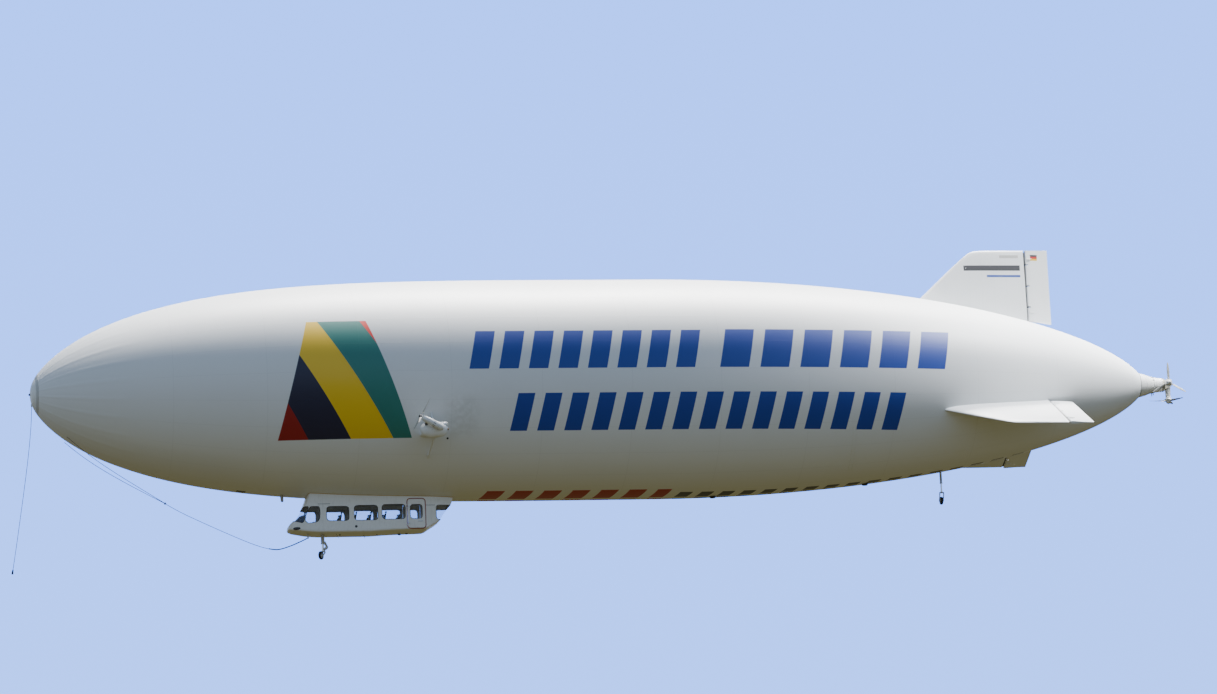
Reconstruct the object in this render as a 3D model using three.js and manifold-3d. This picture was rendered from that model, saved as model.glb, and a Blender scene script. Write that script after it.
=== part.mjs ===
// Semi-rigid airship at half scale, in millimetres.
// Stations run aft from the nose tip along X, port is -Y and up is +Z.
// The origin is on the hull's axis at the centre of buoyancy.
import * as THREE from 'three';
import { mergeVertices } from 'three/addons/utils/BufferGeometryUtils.js';
import Module from 'manifold-3d';

const wasm = await Module();
wasm.setup();

// Hull
const BUOYANCY_STATION = 17500;
const HULL_RADIUS = 3540;
const BROADEST_STATION = 19830;
const TAIL_POINT_STATION = 36480;
const FORE_CURVE = { power: 4.43, root: 0.611 };
const AFT_CURVE = { power: 2.04, root: 0.6 };
const BOW_STATION = 190;
const STERN_STATION = 36250;
const FABRIC = 10;
const HULL_SIDES = 40;
const HULL_STEPS = 18;
const GAP = 0.4;
const WELD = 1e-3;

// Tail surfaces
const LOWER_FIN_ANGLE = 115.6;
const HINGE_STATION = 32720;
const FIN_END_STATION = 32620;
const RUDDER_END_STATION = 33445;
const FIN_TIP = 4540;
const RUDDER_ROOT = 2175;
const RUDDER_NOSE = 62;
const HINGE_BRACKET_HEIGHTS = [2640, 3350, 4065];

// Side drives
const PIVOT = { station: 12300, out: 4200, height: -1870 };
const REST_TILT = 28;
const THRUSTER_RADIUS = 105;
const SIDE_PROPELLER_RADIUS = 675;
const SIDE_PROPELLER_REACH = 575;
const POD = { station: 12235, out: 3890, height: -1950, length: 440, width: 185, depth: 250 };
const POD_WALL = 12;
const POD_POWER = 2.6;
const DUCT_OVERRUN = 0.3;
// Ducts of the pod: the station and the distance out of each end, radius, bore, height above the pod's middle.
const INTAKE = { mouth: [11987, 4004], root: [12115, 3908], radius: 80, bore: 60, up: 160 };
const OUTLET = { mouth: [12640, POD.out], root: [12430, POD.out], radius: 88, bore: 70, up: 150 };
const PYLON_ROOT_OUT = 2700;
const PYLON_OUTLINE = [
  [11950, -1950], [12010, -1905], [12180, -1890], [12340, -1915], [12470, -1950],
  [12340, -1985], [12180, -2010], [12010, -1995],
];
// Stays from the pod to the hull: the height at the pod, then the distance out and the height at the hull.
const STAY_STATION = 12250;
const STAYS = [
  { podHeight: -1800, rootOut: 3050, rootHeight: -1150 },
  { podHeight: -2100, rootOut: 2350, rootHeight: -2560 },
];
const STAY_RADIUS = 26;
const BOSS_RADIUS = 78;
const BOSS_CLEARANCE = 18;

// Stern drive
const TILT_STATION = 37270;
const LATERAL = { station: 37095, out: 725, height: -40 };
const PUSHER_DROP = 525;
const STERN_PROPELLER_RADIUS = 660;
const STERN_HUB = 100;
const HUB_BACK = 85;
const LEG_RADIUS = { top: 103, bottom: 80 };
const FAIRING_WALL = 20;
const FAIRING_ROWS = [[36250.4, 408], [36440, 360], [36700, 275], [36965, 232], [37040, 226]];
const NECK_ROWS = [[37040.4, 0], [37040.4, 224], [37110, 222], [37150, 198], [37150, 0]];
const CHEEK_OUTLINE = [
  [37100, -150], [37270, -112], [37365, -66], [37390, 0], [37365, 66], [37270, 112], [37100, 150],
];
const CHEEK = { near: 126, away: 158 };
const KNUCKLE = { half: 120, radius: 84 };
const STERN_ENGINE = { front: 36300, rear: 36620, half: 110, bottom: -110, top: 90 };

// Gondola
const GONDOLA_WALL = 20;
const GONDOLA_HALF_WIDTH = 562;
const SILL_HEIGHT = -4500;
const FLOOR_HEIGHT = -4480;
const CEILING_HEIGHT = -3585;
const BELLY_HEIGHT = -4590;
const NOSE_JOINT = 9110;
const TAIL_JOINT = 12560;
const PANEL_GAP = 2;
const CENTRE_GAP = 1;
// Sections of the gondola; the top runs up into the hull behind the windscreen.
const GONDOLA_COLUMNS = ['station', 'top', 'bottom', 'half'];
const GONDOLA_SECTIONS = [
  [8047, -4392, -4442, 250],
  [8064, -4322, -4456, 320],
  [8105, -4262, -4470, 385],
  [8180, -4200, -4495, 430],
  [8276, -4110, -4510, 465],
  [8400, -3925, -4525, 500],
  [8540, -3695, -4548, 525],
  [8633, -3478, -4560, 538],
  [8720, -3200, -4570, 547],
  [8900, -2600, -4582, 557],
  [9075, -2600, BELLY_HEIGHT, GONDOLA_HALF_WIDTH],
  [10500, -2600, BELLY_HEIGHT, GONDOLA_HALF_WIDTH],
  [11300, -2600, -4552, GONDOLA_HALF_WIDTH],
  [11880, -2600, -4535, GONDOLA_HALF_WIDTH],
  [12290, -2600, -4527, 556],
  [12370, -2600, -4522, 553],
  [12450, -2600, -4495, 550],
  [12560, -2600, -4425, 546],
  [12865, -2600, -4225, 515],
  [13172, -2600, -3815, 470],
  [13231, -2600, -3710, 458],
  [13330, -2600, -3450, 438],
  [13400, -2600, -3200, 425],
].map((row) => Object.fromEntries(row.map((value, column) => [GONDOLA_COLUMNS[column], value])));
// Corner arcs as shares of the half width and of the height, with the most that they reach up.
const BELLY_CORNER = { out: 0.12, up: 0.45, most: 55 };
const BROW_CORNER = { out: 0.35, up: 0.4, most: 200 };
const CORNER_STEPS = 4;
const DOOR = { front: 11805, rear: 12370, bottom: -4494, top: -3562, clearance: 6, corner: 80 };
// Door hinges: the barrel, how far the straps of the wall and of the door reach, and their feet.
const DOOR_HINGE = {
  station: 11817, out: 575, barrel: 8, strap: 8, foot: 40, wallReach: 11755, doorReach: 11875,
};
const HINGE_HEIGHTS = [-4330, -3800];
const GLASS = 5;
const WINDOW_CORNER = 85;
const DOOR_WINDOW = { front: 11900, rear: 12275, bottom: -4185, top: -3745 };
// Cabin windows: front station, rear station, bottom and top heights.
const SIDE_WINDOWS = [
  { front: 9240, rear: 9935, bottom: -4220, top: -3780 },
  { front: 10115, rear: 10855, bottom: -4213, top: -3755 },
  { front: 11000, rear: 11730, bottom: -4192, top: -3737 },
];
// Side views of the glass that wraps round the nose, and of the pilots' side window.
const NOSE_GLASS = [
  [7900, -3772], [8664, -3768], [8621, -3927], [8552, -4028], [8511, -4212], [8465, -4272],
  [8217, -4196], [7900, -4140],
];
const PILOT_WINDOW = [
  [8729, -3770], [8992, -3773], [9020, -3898], [9005, -4150], [8930, -4248], [8653, -4286],
  [8563, -4211], [8573, -4093], [8626, -3934],
];
const TAIL_GLASS = { front: 12736, rear: 13600, bottom: -4216, top: -3772 };
const TAIL_GLASS_CORNER = 90;
// How far the glass runs on behind the wall beyond its windows.
const GLASS_MARGIN = 40;
const PLATE = 15;
const CLEAT = { front: 8660, rear: 8710, half: 14, bottom: -4708, top: -4552 };

// Seats
const SEAT_ROWS = 5;
const FIRST_ROW_STATION = 9500;
const ROW_PITCH = 470;
const SEAT_OUT = 330;
const PILOT_STATION = 8890;
const PILOT_OUT = 270;
const SEAT_HALF_WIDTH = 115;
// Side outline of a seat, from its station and from the floor.
const SEAT_FOOT = 15.4;
const SEAT_OUTLINE = [
  [-60, SEAT_FOOT], [190, SEAT_FOOT], [190, 190], [255, 560], [235, 580], [150, 262], [-110, 290],
  [-105, 190], [-60, 190],
];
const CONSOLE_HALF_WIDTH = 330;
const CONSOLE_OUTLINE = [
  [8400, -4464.6], [8600, -4464.6], [8620, -4270], [8590, -4215], [8480, -4205], [8360, -4290],
];

// Landing gear
const FRONT_GEAR = {
  station: 9150, legTop: -4587, sleeveEnd: -4875, legEnd: -5108, wheel: -5260, trail: 150, radius: 135,
  sleeve: 52, piston: 30, foot: 72, turn: 56,
};
const REAR_GEAR = {
  station: 29400, legTop: -2700, sleeveEnd: -3184, legEnd: -3470, wheel: -3740, trail: 90, radius: 130,
  sleeve: 40, piston: 26, foot: 62, turn: -90,
};
const WHEEL_WIDTH = 84;
const FORK_ARM = { near: 54, away: 74 };
// The knee of the front leg's two links, behind the leg.
const KNEE = { behind: 138, height: -4985, half: 34, upper: 22, lower: 30, pin: 17, pinHalf: 70 };
const REAR_BRACE = { behind: 360, top: -2700, bottom: -3080, radius: 16 };

// Lines
const LINE_RADIUS = 9;
const LINE_STEP = 230;

// Looks: colour, roughness, metalness
const material = (color, roughness, metalness = 0) =>
  new THREE.MeshStandardMaterial({ color, roughness, metalness });
const FABRIC_WHITE = () => material('#e6e9ec', 0.5);
const PAINT_WHITE = () => material('#e9ebec', 0.35);
const PAINT_GREY = () => material('#9c9c92', 0.5);
const DARK_METAL = () => material('#2b2d30', 0.5, 0.6);
const BARE_METAL = () => material('#a9acae', 0.4, 0.8);
const BLADE_BLACK = () => material('#1c1d20', 0.45);
const RUBBER = () => material('#191919', 0.85);
const TINTED_GLASS = () => material('#24313c', 0.1);
const SEAT_CLOTH = () => material('#27324a', 0.9);
const ROPE = () => material('#5b5648', 0.9);

// Solids

// Merges shared vertices, drops empty faces and turns the faces outward.
function closedBody(geometry) {
  const bare = new THREE.BufferGeometry();
  bare.setAttribute('position', geometry.getAttribute('position'));
  if (geometry.index) bare.setIndex(geometry.index);
  const merged = mergeVertices(bare, WELD);
  const position = merged.getAttribute('position');
  const source = merged.index.array;
  const [a, b, c] = [new THREE.Vector3(), new THREE.Vector3(), new THREE.Vector3()];
  const faces = [];
  let volume = 0;
  for (let i = 0; i < source.length; i += 3) {
    const [p, q, r] = [source[i], source[i + 1], source[i + 2]];
    if (p === q || q === r || r === p) continue;
    faces.push(p, q, r);
    a.fromBufferAttribute(position, p);
    b.fromBufferAttribute(position, q);
    c.fromBufferAttribute(position, r);
    volume += a.dot(b.cross(c));
  }
  if (volume < 0) faces.reverse();
  merged.setIndex(faces);
  return merged;
}

function solid(geometry) {
  const body = closedBody(geometry);
  return new wasm.Manifold(new wasm.Mesh({
    numProp: 3,
    vertProperties: Float32Array.from(body.getAttribute('position').array),
    triVerts: Uint32Array.from(body.index.array),
  }));
}

function geometryOf(manifold) {
  const mesh = manifold.getMesh();
  const geometry = new THREE.BufferGeometry();
  geometry.setAttribute('position', new THREE.BufferAttribute(mesh.vertProperties, 3));
  geometry.setIndex(new THREE.BufferAttribute(mesh.triVerts, 1));
  return geometry;
}

const joined = (...parts) => parts.reduce((sum, part) => sum.add(part));
const cut = (base, ...tools) => tools.reduce((rest, tool) => rest.subtract(tool), base);

// Makes a named piece from a manifold or a geometry.
function piece(name, shape, finish) {
  const geometry = shape.isBufferGeometry ? closedBody(shape) : geometryOf(shape);
  geometry.computeVertexNormals();
  const mesh = new THREE.Mesh(geometry, finish);
  mesh.name = name;
  return mesh;
}

function group(x, y, z, ...children) {
  const holder = new THREE.Group();
  holder.position.set(x, y, z);
  if (children.length) holder.add(...children);
  return holder;
}

// A body turned about X, from rows of [station, radius].
function turned(rows, sides = 24) {
  const points = rows.map(([along, radius]) => new THREE.Vector2(radius, along));
  return new THREE.LatheGeometry(points, sides).rotateZ(-Math.PI / 2);
}

function box(x0, x1, y0, y1, z0, z1) {
  return new THREE.BoxGeometry(x1 - x0, y1 - y0, z1 - z0)
    .translate((x0 + x1) / 2, (y0 + y1) / 2, (z0 + z1) / 2);
}

// A round bar between two points, with its radius at each end.
function bar(from, to, radius, endRadius = radius, sides = 16) {
  const start = new THREE.Vector3(...from);
  const run = new THREE.Vector3(...to).sub(start);
  const turn = new THREE.Quaternion()
    .setFromUnitVectors(new THREE.Vector3(0, 1, 0), run.clone().normalize());
  return new THREE.CylinderGeometry(endRadius, radius, run.length(), sides)
    .translate(0, run.length() / 2, 0)
    .applyQuaternion(turn)
    .translate(...from);
}

// Outlines: side views hold (station, height), plans (station, y), sections (y, height).
function shapeOf(points) {
  return new THREE.Shape(points.map(([x, y]) => new THREE.Vector2(x, y)));
}

function extruded(shape, depth, curveSegments = 8) {
  return new THREE.ExtrudeGeometry(shape, { depth, curveSegments, bevelEnabled: false });
}

// The two depths of a piece on one side of the ship, the lower one first.
const onSide = (side, near, away) => (side < 0 ? [-away, -near] : [near, away]);

function sideSlab(shape, y0, y1, curveSegments) {
  return extruded(shape, y1 - y0, curveSegments).rotateX(Math.PI / 2).translate(0, y1, 0);
}

// A skin over rings of equal point counts, closed by a fan at each end.
function loft(rings) {
  const sides = rings[0].length;
  const points = rings.flat();
  const faces = [];
  for (let ring = 0; ring < rings.length - 1; ring++) {
    for (let side = 0; side < sides; side++) {
      const a = ring * sides + side;
      const b = ring * sides + (side + 1) % sides;
      faces.push(a, b, b + sides, a, b + sides, a + sides);
    }
  }
  const last = (rings.length - 1) * sides;
  for (let side = 1; side < sides - 1; side++) {
    faces.push(0, side + 1, side, last, last + side, last + side + 1);
  }
  const geometry = new THREE.BufferGeometry();
  geometry.setAttribute('position', new THREE.Float32BufferAttribute(points.flat(), 3));
  geometry.setIndex(faces);
  return geometry;
}

function roundedRectangle(x0, x1, y0, y1, corner) {
  const shape = new THREE.Shape();
  shape.moveTo(x0 + corner, y0);
  shape.lineTo(x1 - corner, y0);
  shape.absarc(x1 - corner, y0 + corner, corner, -Math.PI / 2, 0);
  shape.lineTo(x1, y1 - corner);
  shape.absarc(x1 - corner, y1 - corner, corner, 0, Math.PI / 2);
  shape.lineTo(x0 + corner, y1);
  shape.absarc(x0 + corner, y1 - corner, corner, Math.PI / 2, Math.PI);
  shape.lineTo(x0, y0 + corner);
  shape.absarc(x0 + corner, y0 + corner, corner, Math.PI, Math.PI * 1.5);
  return shape;
}

// Hull

function hullRadius(station) {
  const fore = station < BROADEST_STATION;
  const curve = fore ? FORE_CURVE : AFT_CURVE;
  const run = fore ? BROADEST_STATION : TAIL_POINT_STATION - BROADEST_STATION;
  const part = Math.abs(station - BROADEST_STATION) / run;
  return HULL_RADIUS * (1 - part ** curve.power) ** curve.root;
}

function hullSlope(station) {
  return hullRadius(station + 1) - hullRadius(station);
}

const hullStations = Array.from({ length: HULL_STEPS + 1 }, (_, step) => {
  const part = (1 - Math.cos(Math.PI * step / HULL_STEPS)) / 2;
  return BOW_STATION + part * (STERN_STATION - BOW_STATION);
});

// Rows of [station, radius] at a distance outside the fabric.
const hullRows = (stations, outside) =>
  stations.map((station) => [station, hullRadius(station) + outside * Math.hypot(1, hullSlope(station))]);

function envelope() {
  const outer = hullRows(hullStations, 0);
  const inner = hullRows(hullStations.filter((_, step) => step % 2 === 0), -FABRIC).reverse();
  return turned([...outer, ...inner, outer[0]], HULL_SIDES);
}

// The hull's outside as a full body, turned about X, for trimming what meets it.
function hullBlank(turn = 0) {
  const rows = hullRows(hullStations, GAP);
  const ends = [[rows[0][0], 0], ...rows, [rows.at(-1)[0], 0]];
  return solid(turned(ends, HULL_SIDES).rotateX(THREE.MathUtils.degToRad(turn)));
}
const hull = hullBlank();

function noseCap() {
  const dome = solid(turned([
    [45, 0], [45, 60], [62, 200], [98, 330], [148, 440], [189.5, 505], [189.5, 0],
  ]));
  const lineLug = solid(box(70, 110, -12, 12, -396, -300));
  return joined(dome, lineLug);
}

function bowRing() {
  const stations = [200, 280];
  const outer = hullRows(stations, 14);
  const inner = hullRows(stations, 1.5).reverse();
  return turned([...outer, ...inner, outer[0]], HULL_SIDES);
}

const mooringProbe = () => turned([[2, 0], [2, 24], [14, 34], [44.5, 34], [44.5, 0]]);

function airValve(station) {
  const bottom = -hullRadius(station);
  const dome = solid(bar([station, 0, bottom + 60], [station, 0, bottom - 60], 105, 90));
  return cut(dome, hull);
}

// Tail surfaces, built upright in the plane of the top fin

function finSection(front, rear, half, height) {
  const points = [[0, 0], [0.03, 0.42], [0.12, 0.78], [0.35, 1], [0.68, 0.86], [1, 0.55]];
  const side = (sign) => points.map(([part, thick]) =>
    [front + part * (rear - front), sign * thick * half, height]);
  return [...side(1), ...side(-1).slice(1).reverse()];
}

function fin(turn) {
  // Height above the hull's axis, front station, half thickness.
  const sections = [
    [1850, 27830, 150],
    [2860, 28950, 128],
    [4290, 30540, 66],
    [4440, 30730, 56],
    [4515, 30930, 38],
    [FIN_TIP, 31160, 16],
  ];
  const rings = sections.map(([height, front, half]) => finSection(front, FIN_END_STATION, half, height));
  const blade = solid(loft(rings));
  const brackets = HINGE_BRACKET_HEIGHTS.map((height) =>
    solid(box(FIN_END_STATION - 40, HINGE_STATION + 18, -14, 14, height - 16, height + 16)));
  return cut(joined(blade, ...brackets), hullBlank(-turn));
}

function rudderSection(nose, heightAtHinge, heightAtEnd) {
  const chord = RUDDER_END_STATION - HINGE_STATION;
  const points = [[-1, 0], [-0.7, 0.7], [0, 1], [5, 0.62], [chord / nose, 0.08]];
  const place = (sign) => points.map(([along, thick]) => {
    const run = Math.max(along, 0) * nose / chord;
    const height = heightAtHinge + run * (heightAtEnd - heightAtHinge);
    return [HINGE_STATION + along * nose, sign * thick * nose, height];
  });
  return [...place(1), ...place(-1).slice(1).reverse()];
}

function rudder() {
  const rows = [
    [RUDDER_NOSE * 1.25, RUDDER_ROOT, RUDDER_ROOT - 130],
    [RUDDER_NOSE * 0.75, FIN_TIP, FIN_TIP + 8],
  ];
  const blade = solid(loft(rows.map(([nose, hinge, end]) => rudderSection(nose, hinge, end))));
  const slots = HINGE_BRACKET_HEIGHTS.map((height) =>
    solid(box(HINGE_STATION - 120, HINGE_STATION + 45, -120, 120, height - 26, height + 26)));
  return cut(blade, ...slots);
}

// Propellers turn about X with the spinner's tip towards -X

function propeller(radius, hub = radius * 0.11) {
  // Part of the radius, chord, half thickness, pitch in degrees.
  const rows = [
    [0.08, 0.07, 0.026, 55],
    [0.25, 0.13, 0.016, 38],
    [0.60, 0.135, 0.010, 23],
    [1.0, 0.06, 0.005, 14],
  ];
  const ring = ([part, chord, half, pitch]) => {
    const angle = THREE.MathUtils.degToRad(pitch);
    return Array.from({ length: 6 }, (_, corner) => {
      const around = corner * Math.PI / 3;
      const across = Math.cos(around) * chord * radius / 2;
      const thick = Math.sin(around) * half * radius;
      return [
        across * Math.sin(angle) + thick * Math.cos(angle),
        across * Math.cos(angle) - thick * Math.sin(angle),
        part * radius,
      ];
    });
  };
  const blade = loft(rows.map(ring));
  const spinner = solid(turned([
    [-hub * 1.1, 0], [-hub * 0.95, hub * 0.35], [-hub * 0.4, hub * 0.8],
    [hub * 0.3, hub], [hub * 0.3, hub * 1.28], [hub * 0.55, hub * 1.28], [hub * 0.55, hub * 0.9],
    [hub * 0.75, hub * 0.9], [hub * 0.75, 0],
  ], 16));
  const blades = [0, 120, 240].map((turn) => solid(blade.clone().rotateX(THREE.MathUtils.degToRad(turn))));
  return joined(spinner, ...blades);
}

// Side drives: side is -1 to port and 1 to starboard

function podShape(inset) {
  const parts = [-1, -0.9, -0.6, 0, 0.6, 0.9, 1];
  const rows = parts.map((part) => [part, Math.sqrt(1 - Math.abs(part) ** POD_POWER)]);
  return turned(rows, 16).scale(POD.length - inset, POD.width - inset, POD.depth - inset);
}

function enginePod(side) {
  const out = side * POD.out;
  const shell = (inset) => solid(podShape(inset).translate(POD.station, out, POD.height));
  // A round duct, run on beyond its mouth and its root by the given shares of its length.
  const duct = ({ mouth, root, up }, radius, beyondMouth, beyondRoot) => {
    const point = (share) => [
      mouth[0] + share * (root[0] - mouth[0]), side * (mouth[1] + share * (root[1] - mouth[1])), POD.height + up,
    ];
    return solid(bar(point(-beyondMouth), point(1 + beyondRoot), radius, radius, 12));
  };
  const pylon = solid(sideSlab(shapeOf(PYLON_OUTLINE), ...onSide(side, PYLON_ROOT_OUT, POD.out)));
  const stays = STAYS.map(({ podHeight, rootOut, rootHeight }) => solid(bar(
    [STAY_STATION, out, podHeight], [STAY_STATION, side * rootOut, rootHeight], STAY_RADIUS, STAY_RADIUS, 8,
  )));
  const bossFace = side * (PIVOT.out - THRUSTER_RADIUS - BOSS_CLEARANCE);
  const boss = solid(bar(
    [PIVOT.station, out, PIVOT.height], [PIVOT.station, bossFace, PIVOT.height], BOSS_RADIUS, BOSS_RADIUS, 12,
  ));
  const body = joined(
    shell(0), pylon, ...stays, boss,
    duct(INTAKE, INTAKE.radius, 0, 0),
    duct(OUTLET, OUTLET.radius, 0, 0),
  );
  return cut(
    body, shell(POD_WALL),
    duct(INTAKE, INTAKE.bore, DUCT_OVERRUN, DUCT_OVERRUN / 3),
    duct(OUTLET, OUTLET.bore, DUCT_OVERRUN, DUCT_OVERRUN / 3),
    hull,
  );
}

const sideEngine = (side) => box(
  POD.station - 150, POD.station + 190, side * POD.out - 100, side * POD.out + 100,
  POD.height - 130, POD.height + 60,
);

function thruster(side) {
  const tube = solid(turned([
    [-500, 0], [-500, 70], [-465, 90], [-280, THRUSTER_RADIUS], [60, THRUSTER_RADIUS], [160, 86], [215, 46],
    [215, 0],
  ]));
  const trunnion = solid(bar([0, 0, 0], [0, -side * (THRUSTER_RADIUS + 17), 0], 62));
  return joined(tube, trunnion);
}

function sideDrive(name, side) {
  const blades = piece(`${name}_propeller`, propeller(SIDE_PROPELLER_RADIUS), BLADE_BLACK());
  const tilting = group(
    PIVOT.station, side * PIVOT.out, PIVOT.height,
    piece(`${name}_thruster`, thruster(side), PAINT_WHITE()),
    group(-SIDE_PROPELLER_REACH, 0, 0, blades),
  );
  tilting.rotation.y = THREE.MathUtils.degToRad(REST_TILT);
  return [
    piece(`${name}_engine_pod`, enginePod(side), PAINT_WHITE()),
    piece(`${name}_engine`, sideEngine(side), DARK_METAL()),
    tilting,
  ];
}

// Stern drive

function sternFairing() {
  const end = FAIRING_ROWS.at(-1)[0];
  const inner = FAIRING_ROWS.map(([station, radius]) => [station, radius - FAIRING_WALL]).reverse();
  inner[0] = [end - FAIRING_WALL, 0];
  return turned([...FAIRING_ROWS, [end, 0], ...inner, FAIRING_ROWS[0]]);
}

function sternGearbox() {
  const neck = solid(turned(NECK_ROWS));
  const cheeks = [-1, 1].map((side) =>
    solid(sideSlab(shapeOf(CHEEK_OUTLINE), ...onSide(side, CHEEK.near, CHEEK.away))));
  const { station, out, height } = LATERAL;
  const driveTube = solid(bar([station, -100, height], [station, -out + HUB_BACK, height], 50, 46));
  return joined(neck, ...cheeks, driveTube);
}

function pusherLeg() {
  const knuckle = solid(bar([0, -KNUCKLE.half, 0], [0, KNUCKLE.half, 0], KNUCKLE.radius, KNUCKLE.radius, 24));
  const leg = solid(bar([0, 0, 0], [0, 0, -PUSHER_DROP + HUB_BACK], LEG_RADIUS.top, LEG_RADIUS.bottom));
  return joined(knuckle, leg);
}

function sternDrive() {
  const lateral = piece('lateral_propeller', propeller(STERN_PROPELLER_RADIUS, STERN_HUB), BLADE_BLACK());
  lateral.rotation.z = Math.PI / 2;
  const pusher = piece('pusher_propeller', propeller(STERN_PROPELLER_RADIUS, STERN_HUB), BLADE_BLACK());
  pusher.rotation.y = -Math.PI / 2;
  const { front, rear, half, bottom, top } = STERN_ENGINE;
  return [
    piece('stern_fairing', sternFairing(), PAINT_WHITE()),
    piece('stern_engine', box(front, rear, -half, half, bottom, top), DARK_METAL()),
    piece('stern_gearbox', sternGearbox(), PAINT_GREY()),
    group(TILT_STATION, 0, 0, piece('pusher_leg', pusherLeg(), PAINT_WHITE())),
    group(LATERAL.station, -LATERAL.out, LATERAL.height, lateral),
    group(TILT_STATION, 0, -PUSHER_DROP, pusher),
  ];
}

// Gondola: one shell lofted from its sections, cut into its panels

function roundedSection(station, half, bottom, top) {
  const arc = (corner, side, edge) => {
    const size = { out: half * corner.out, up: Math.min(corner.most, (top - bottom) * corner.up) };
    return { ...size, y: side * (half - size.out), z: edge === bottom ? bottom + size.up : top - size.up };
  };
  const corners = [
    arc(BELLY_CORNER, 1, bottom), arc(BROW_CORNER, 1, top),
    arc(BROW_CORNER, -1, top), arc(BELLY_CORNER, -1, bottom),
  ];
  const quarterRing = ({ y, z, out, up }, quarter) => Array.from({ length: CORNER_STEPS + 1 }, (_, step) => {
    const angle = (quarter - 1 + step / CORNER_STEPS) * Math.PI / 2;
    return [station, y + out * Math.cos(angle), z + up * Math.sin(angle)];
  });
  return corners.flatMap(quarterRing);
}

// The gondola's body, drawn in by a wall's thickness measured square to its skin.
function gondolaBody(inset) {
  const rings = GONDOLA_SECTIONS.map(({ station, top, bottom, half }, index) => {
    const before = GONDOLA_SECTIONS[Math.max(index - 1, 0)];
    const after = GONDOLA_SECTIONS[Math.min(index + 1, GONDOLA_SECTIONS.length - 1)];
    const run = after.station - before.station;
    const low = bottom + inset * Math.hypot(1, (after.bottom - before.bottom) / run);
    const high = top - inset * Math.hypot(1, (after.top - before.top) / run);
    return { height: high - low, ring: roundedSection(station, half - inset, low, high) };
  });
  return solid(loft(rings.filter(({ height }) => height > 45).map(({ ring }) => ring)));
}

const windowCut = ({ front, rear, bottom, top }, y0, y1, corner = WINDOW_CORNER) =>
  solid(sideSlab(roundedRectangle(front, rear, bottom, top, corner), y0, y1, 2));

// Door hinges at the front edge, their barrels outside the skin: leaf is 'door' or 'wall'.
function doorHinges(side, leaf) {
  const { station, out, barrel, strap, foot, wallReach, doorReach } = DOOR_HINGE;
  const spans = leaf === 'door' ? [[-30, 30]] : [[-64, -36], [36, 64]];
  const reach = leaf === 'door' ? [station, doorReach] : [wallReach, station];
  const footReach = leaf === 'door' ? [doorReach - foot, doorReach] : [wallReach, wallReach + foot];
  const parts = HINGE_HEIGHTS.flatMap((height) => spans.flatMap(([low, high]) => {
    const [z0, z1] = [height + low, height + high];
    return [
      solid(bar([station, side * out, z0], [station, side * out, z1], barrel, barrel, 10)),
      solid(box(...reach, ...onSide(side, out, out + strap), z0 + 4, z1 - 4)),
      solid(box(...footReach, ...onSide(side, GONDOLA_HALF_WIDTH - 4, out), z0 + 4, z1 - 4)),
    ];
  }));
  return joined(...parts);
}

function doorRegion(grow, depths) {
  const { front, rear, bottom, top, corner } = DOOR;
  const outline = { front: front - grow, rear: rear + grow, bottom: bottom - grow, top: top + grow };
  return windowCut(outline, ...depths, corner + grow);
}

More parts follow.
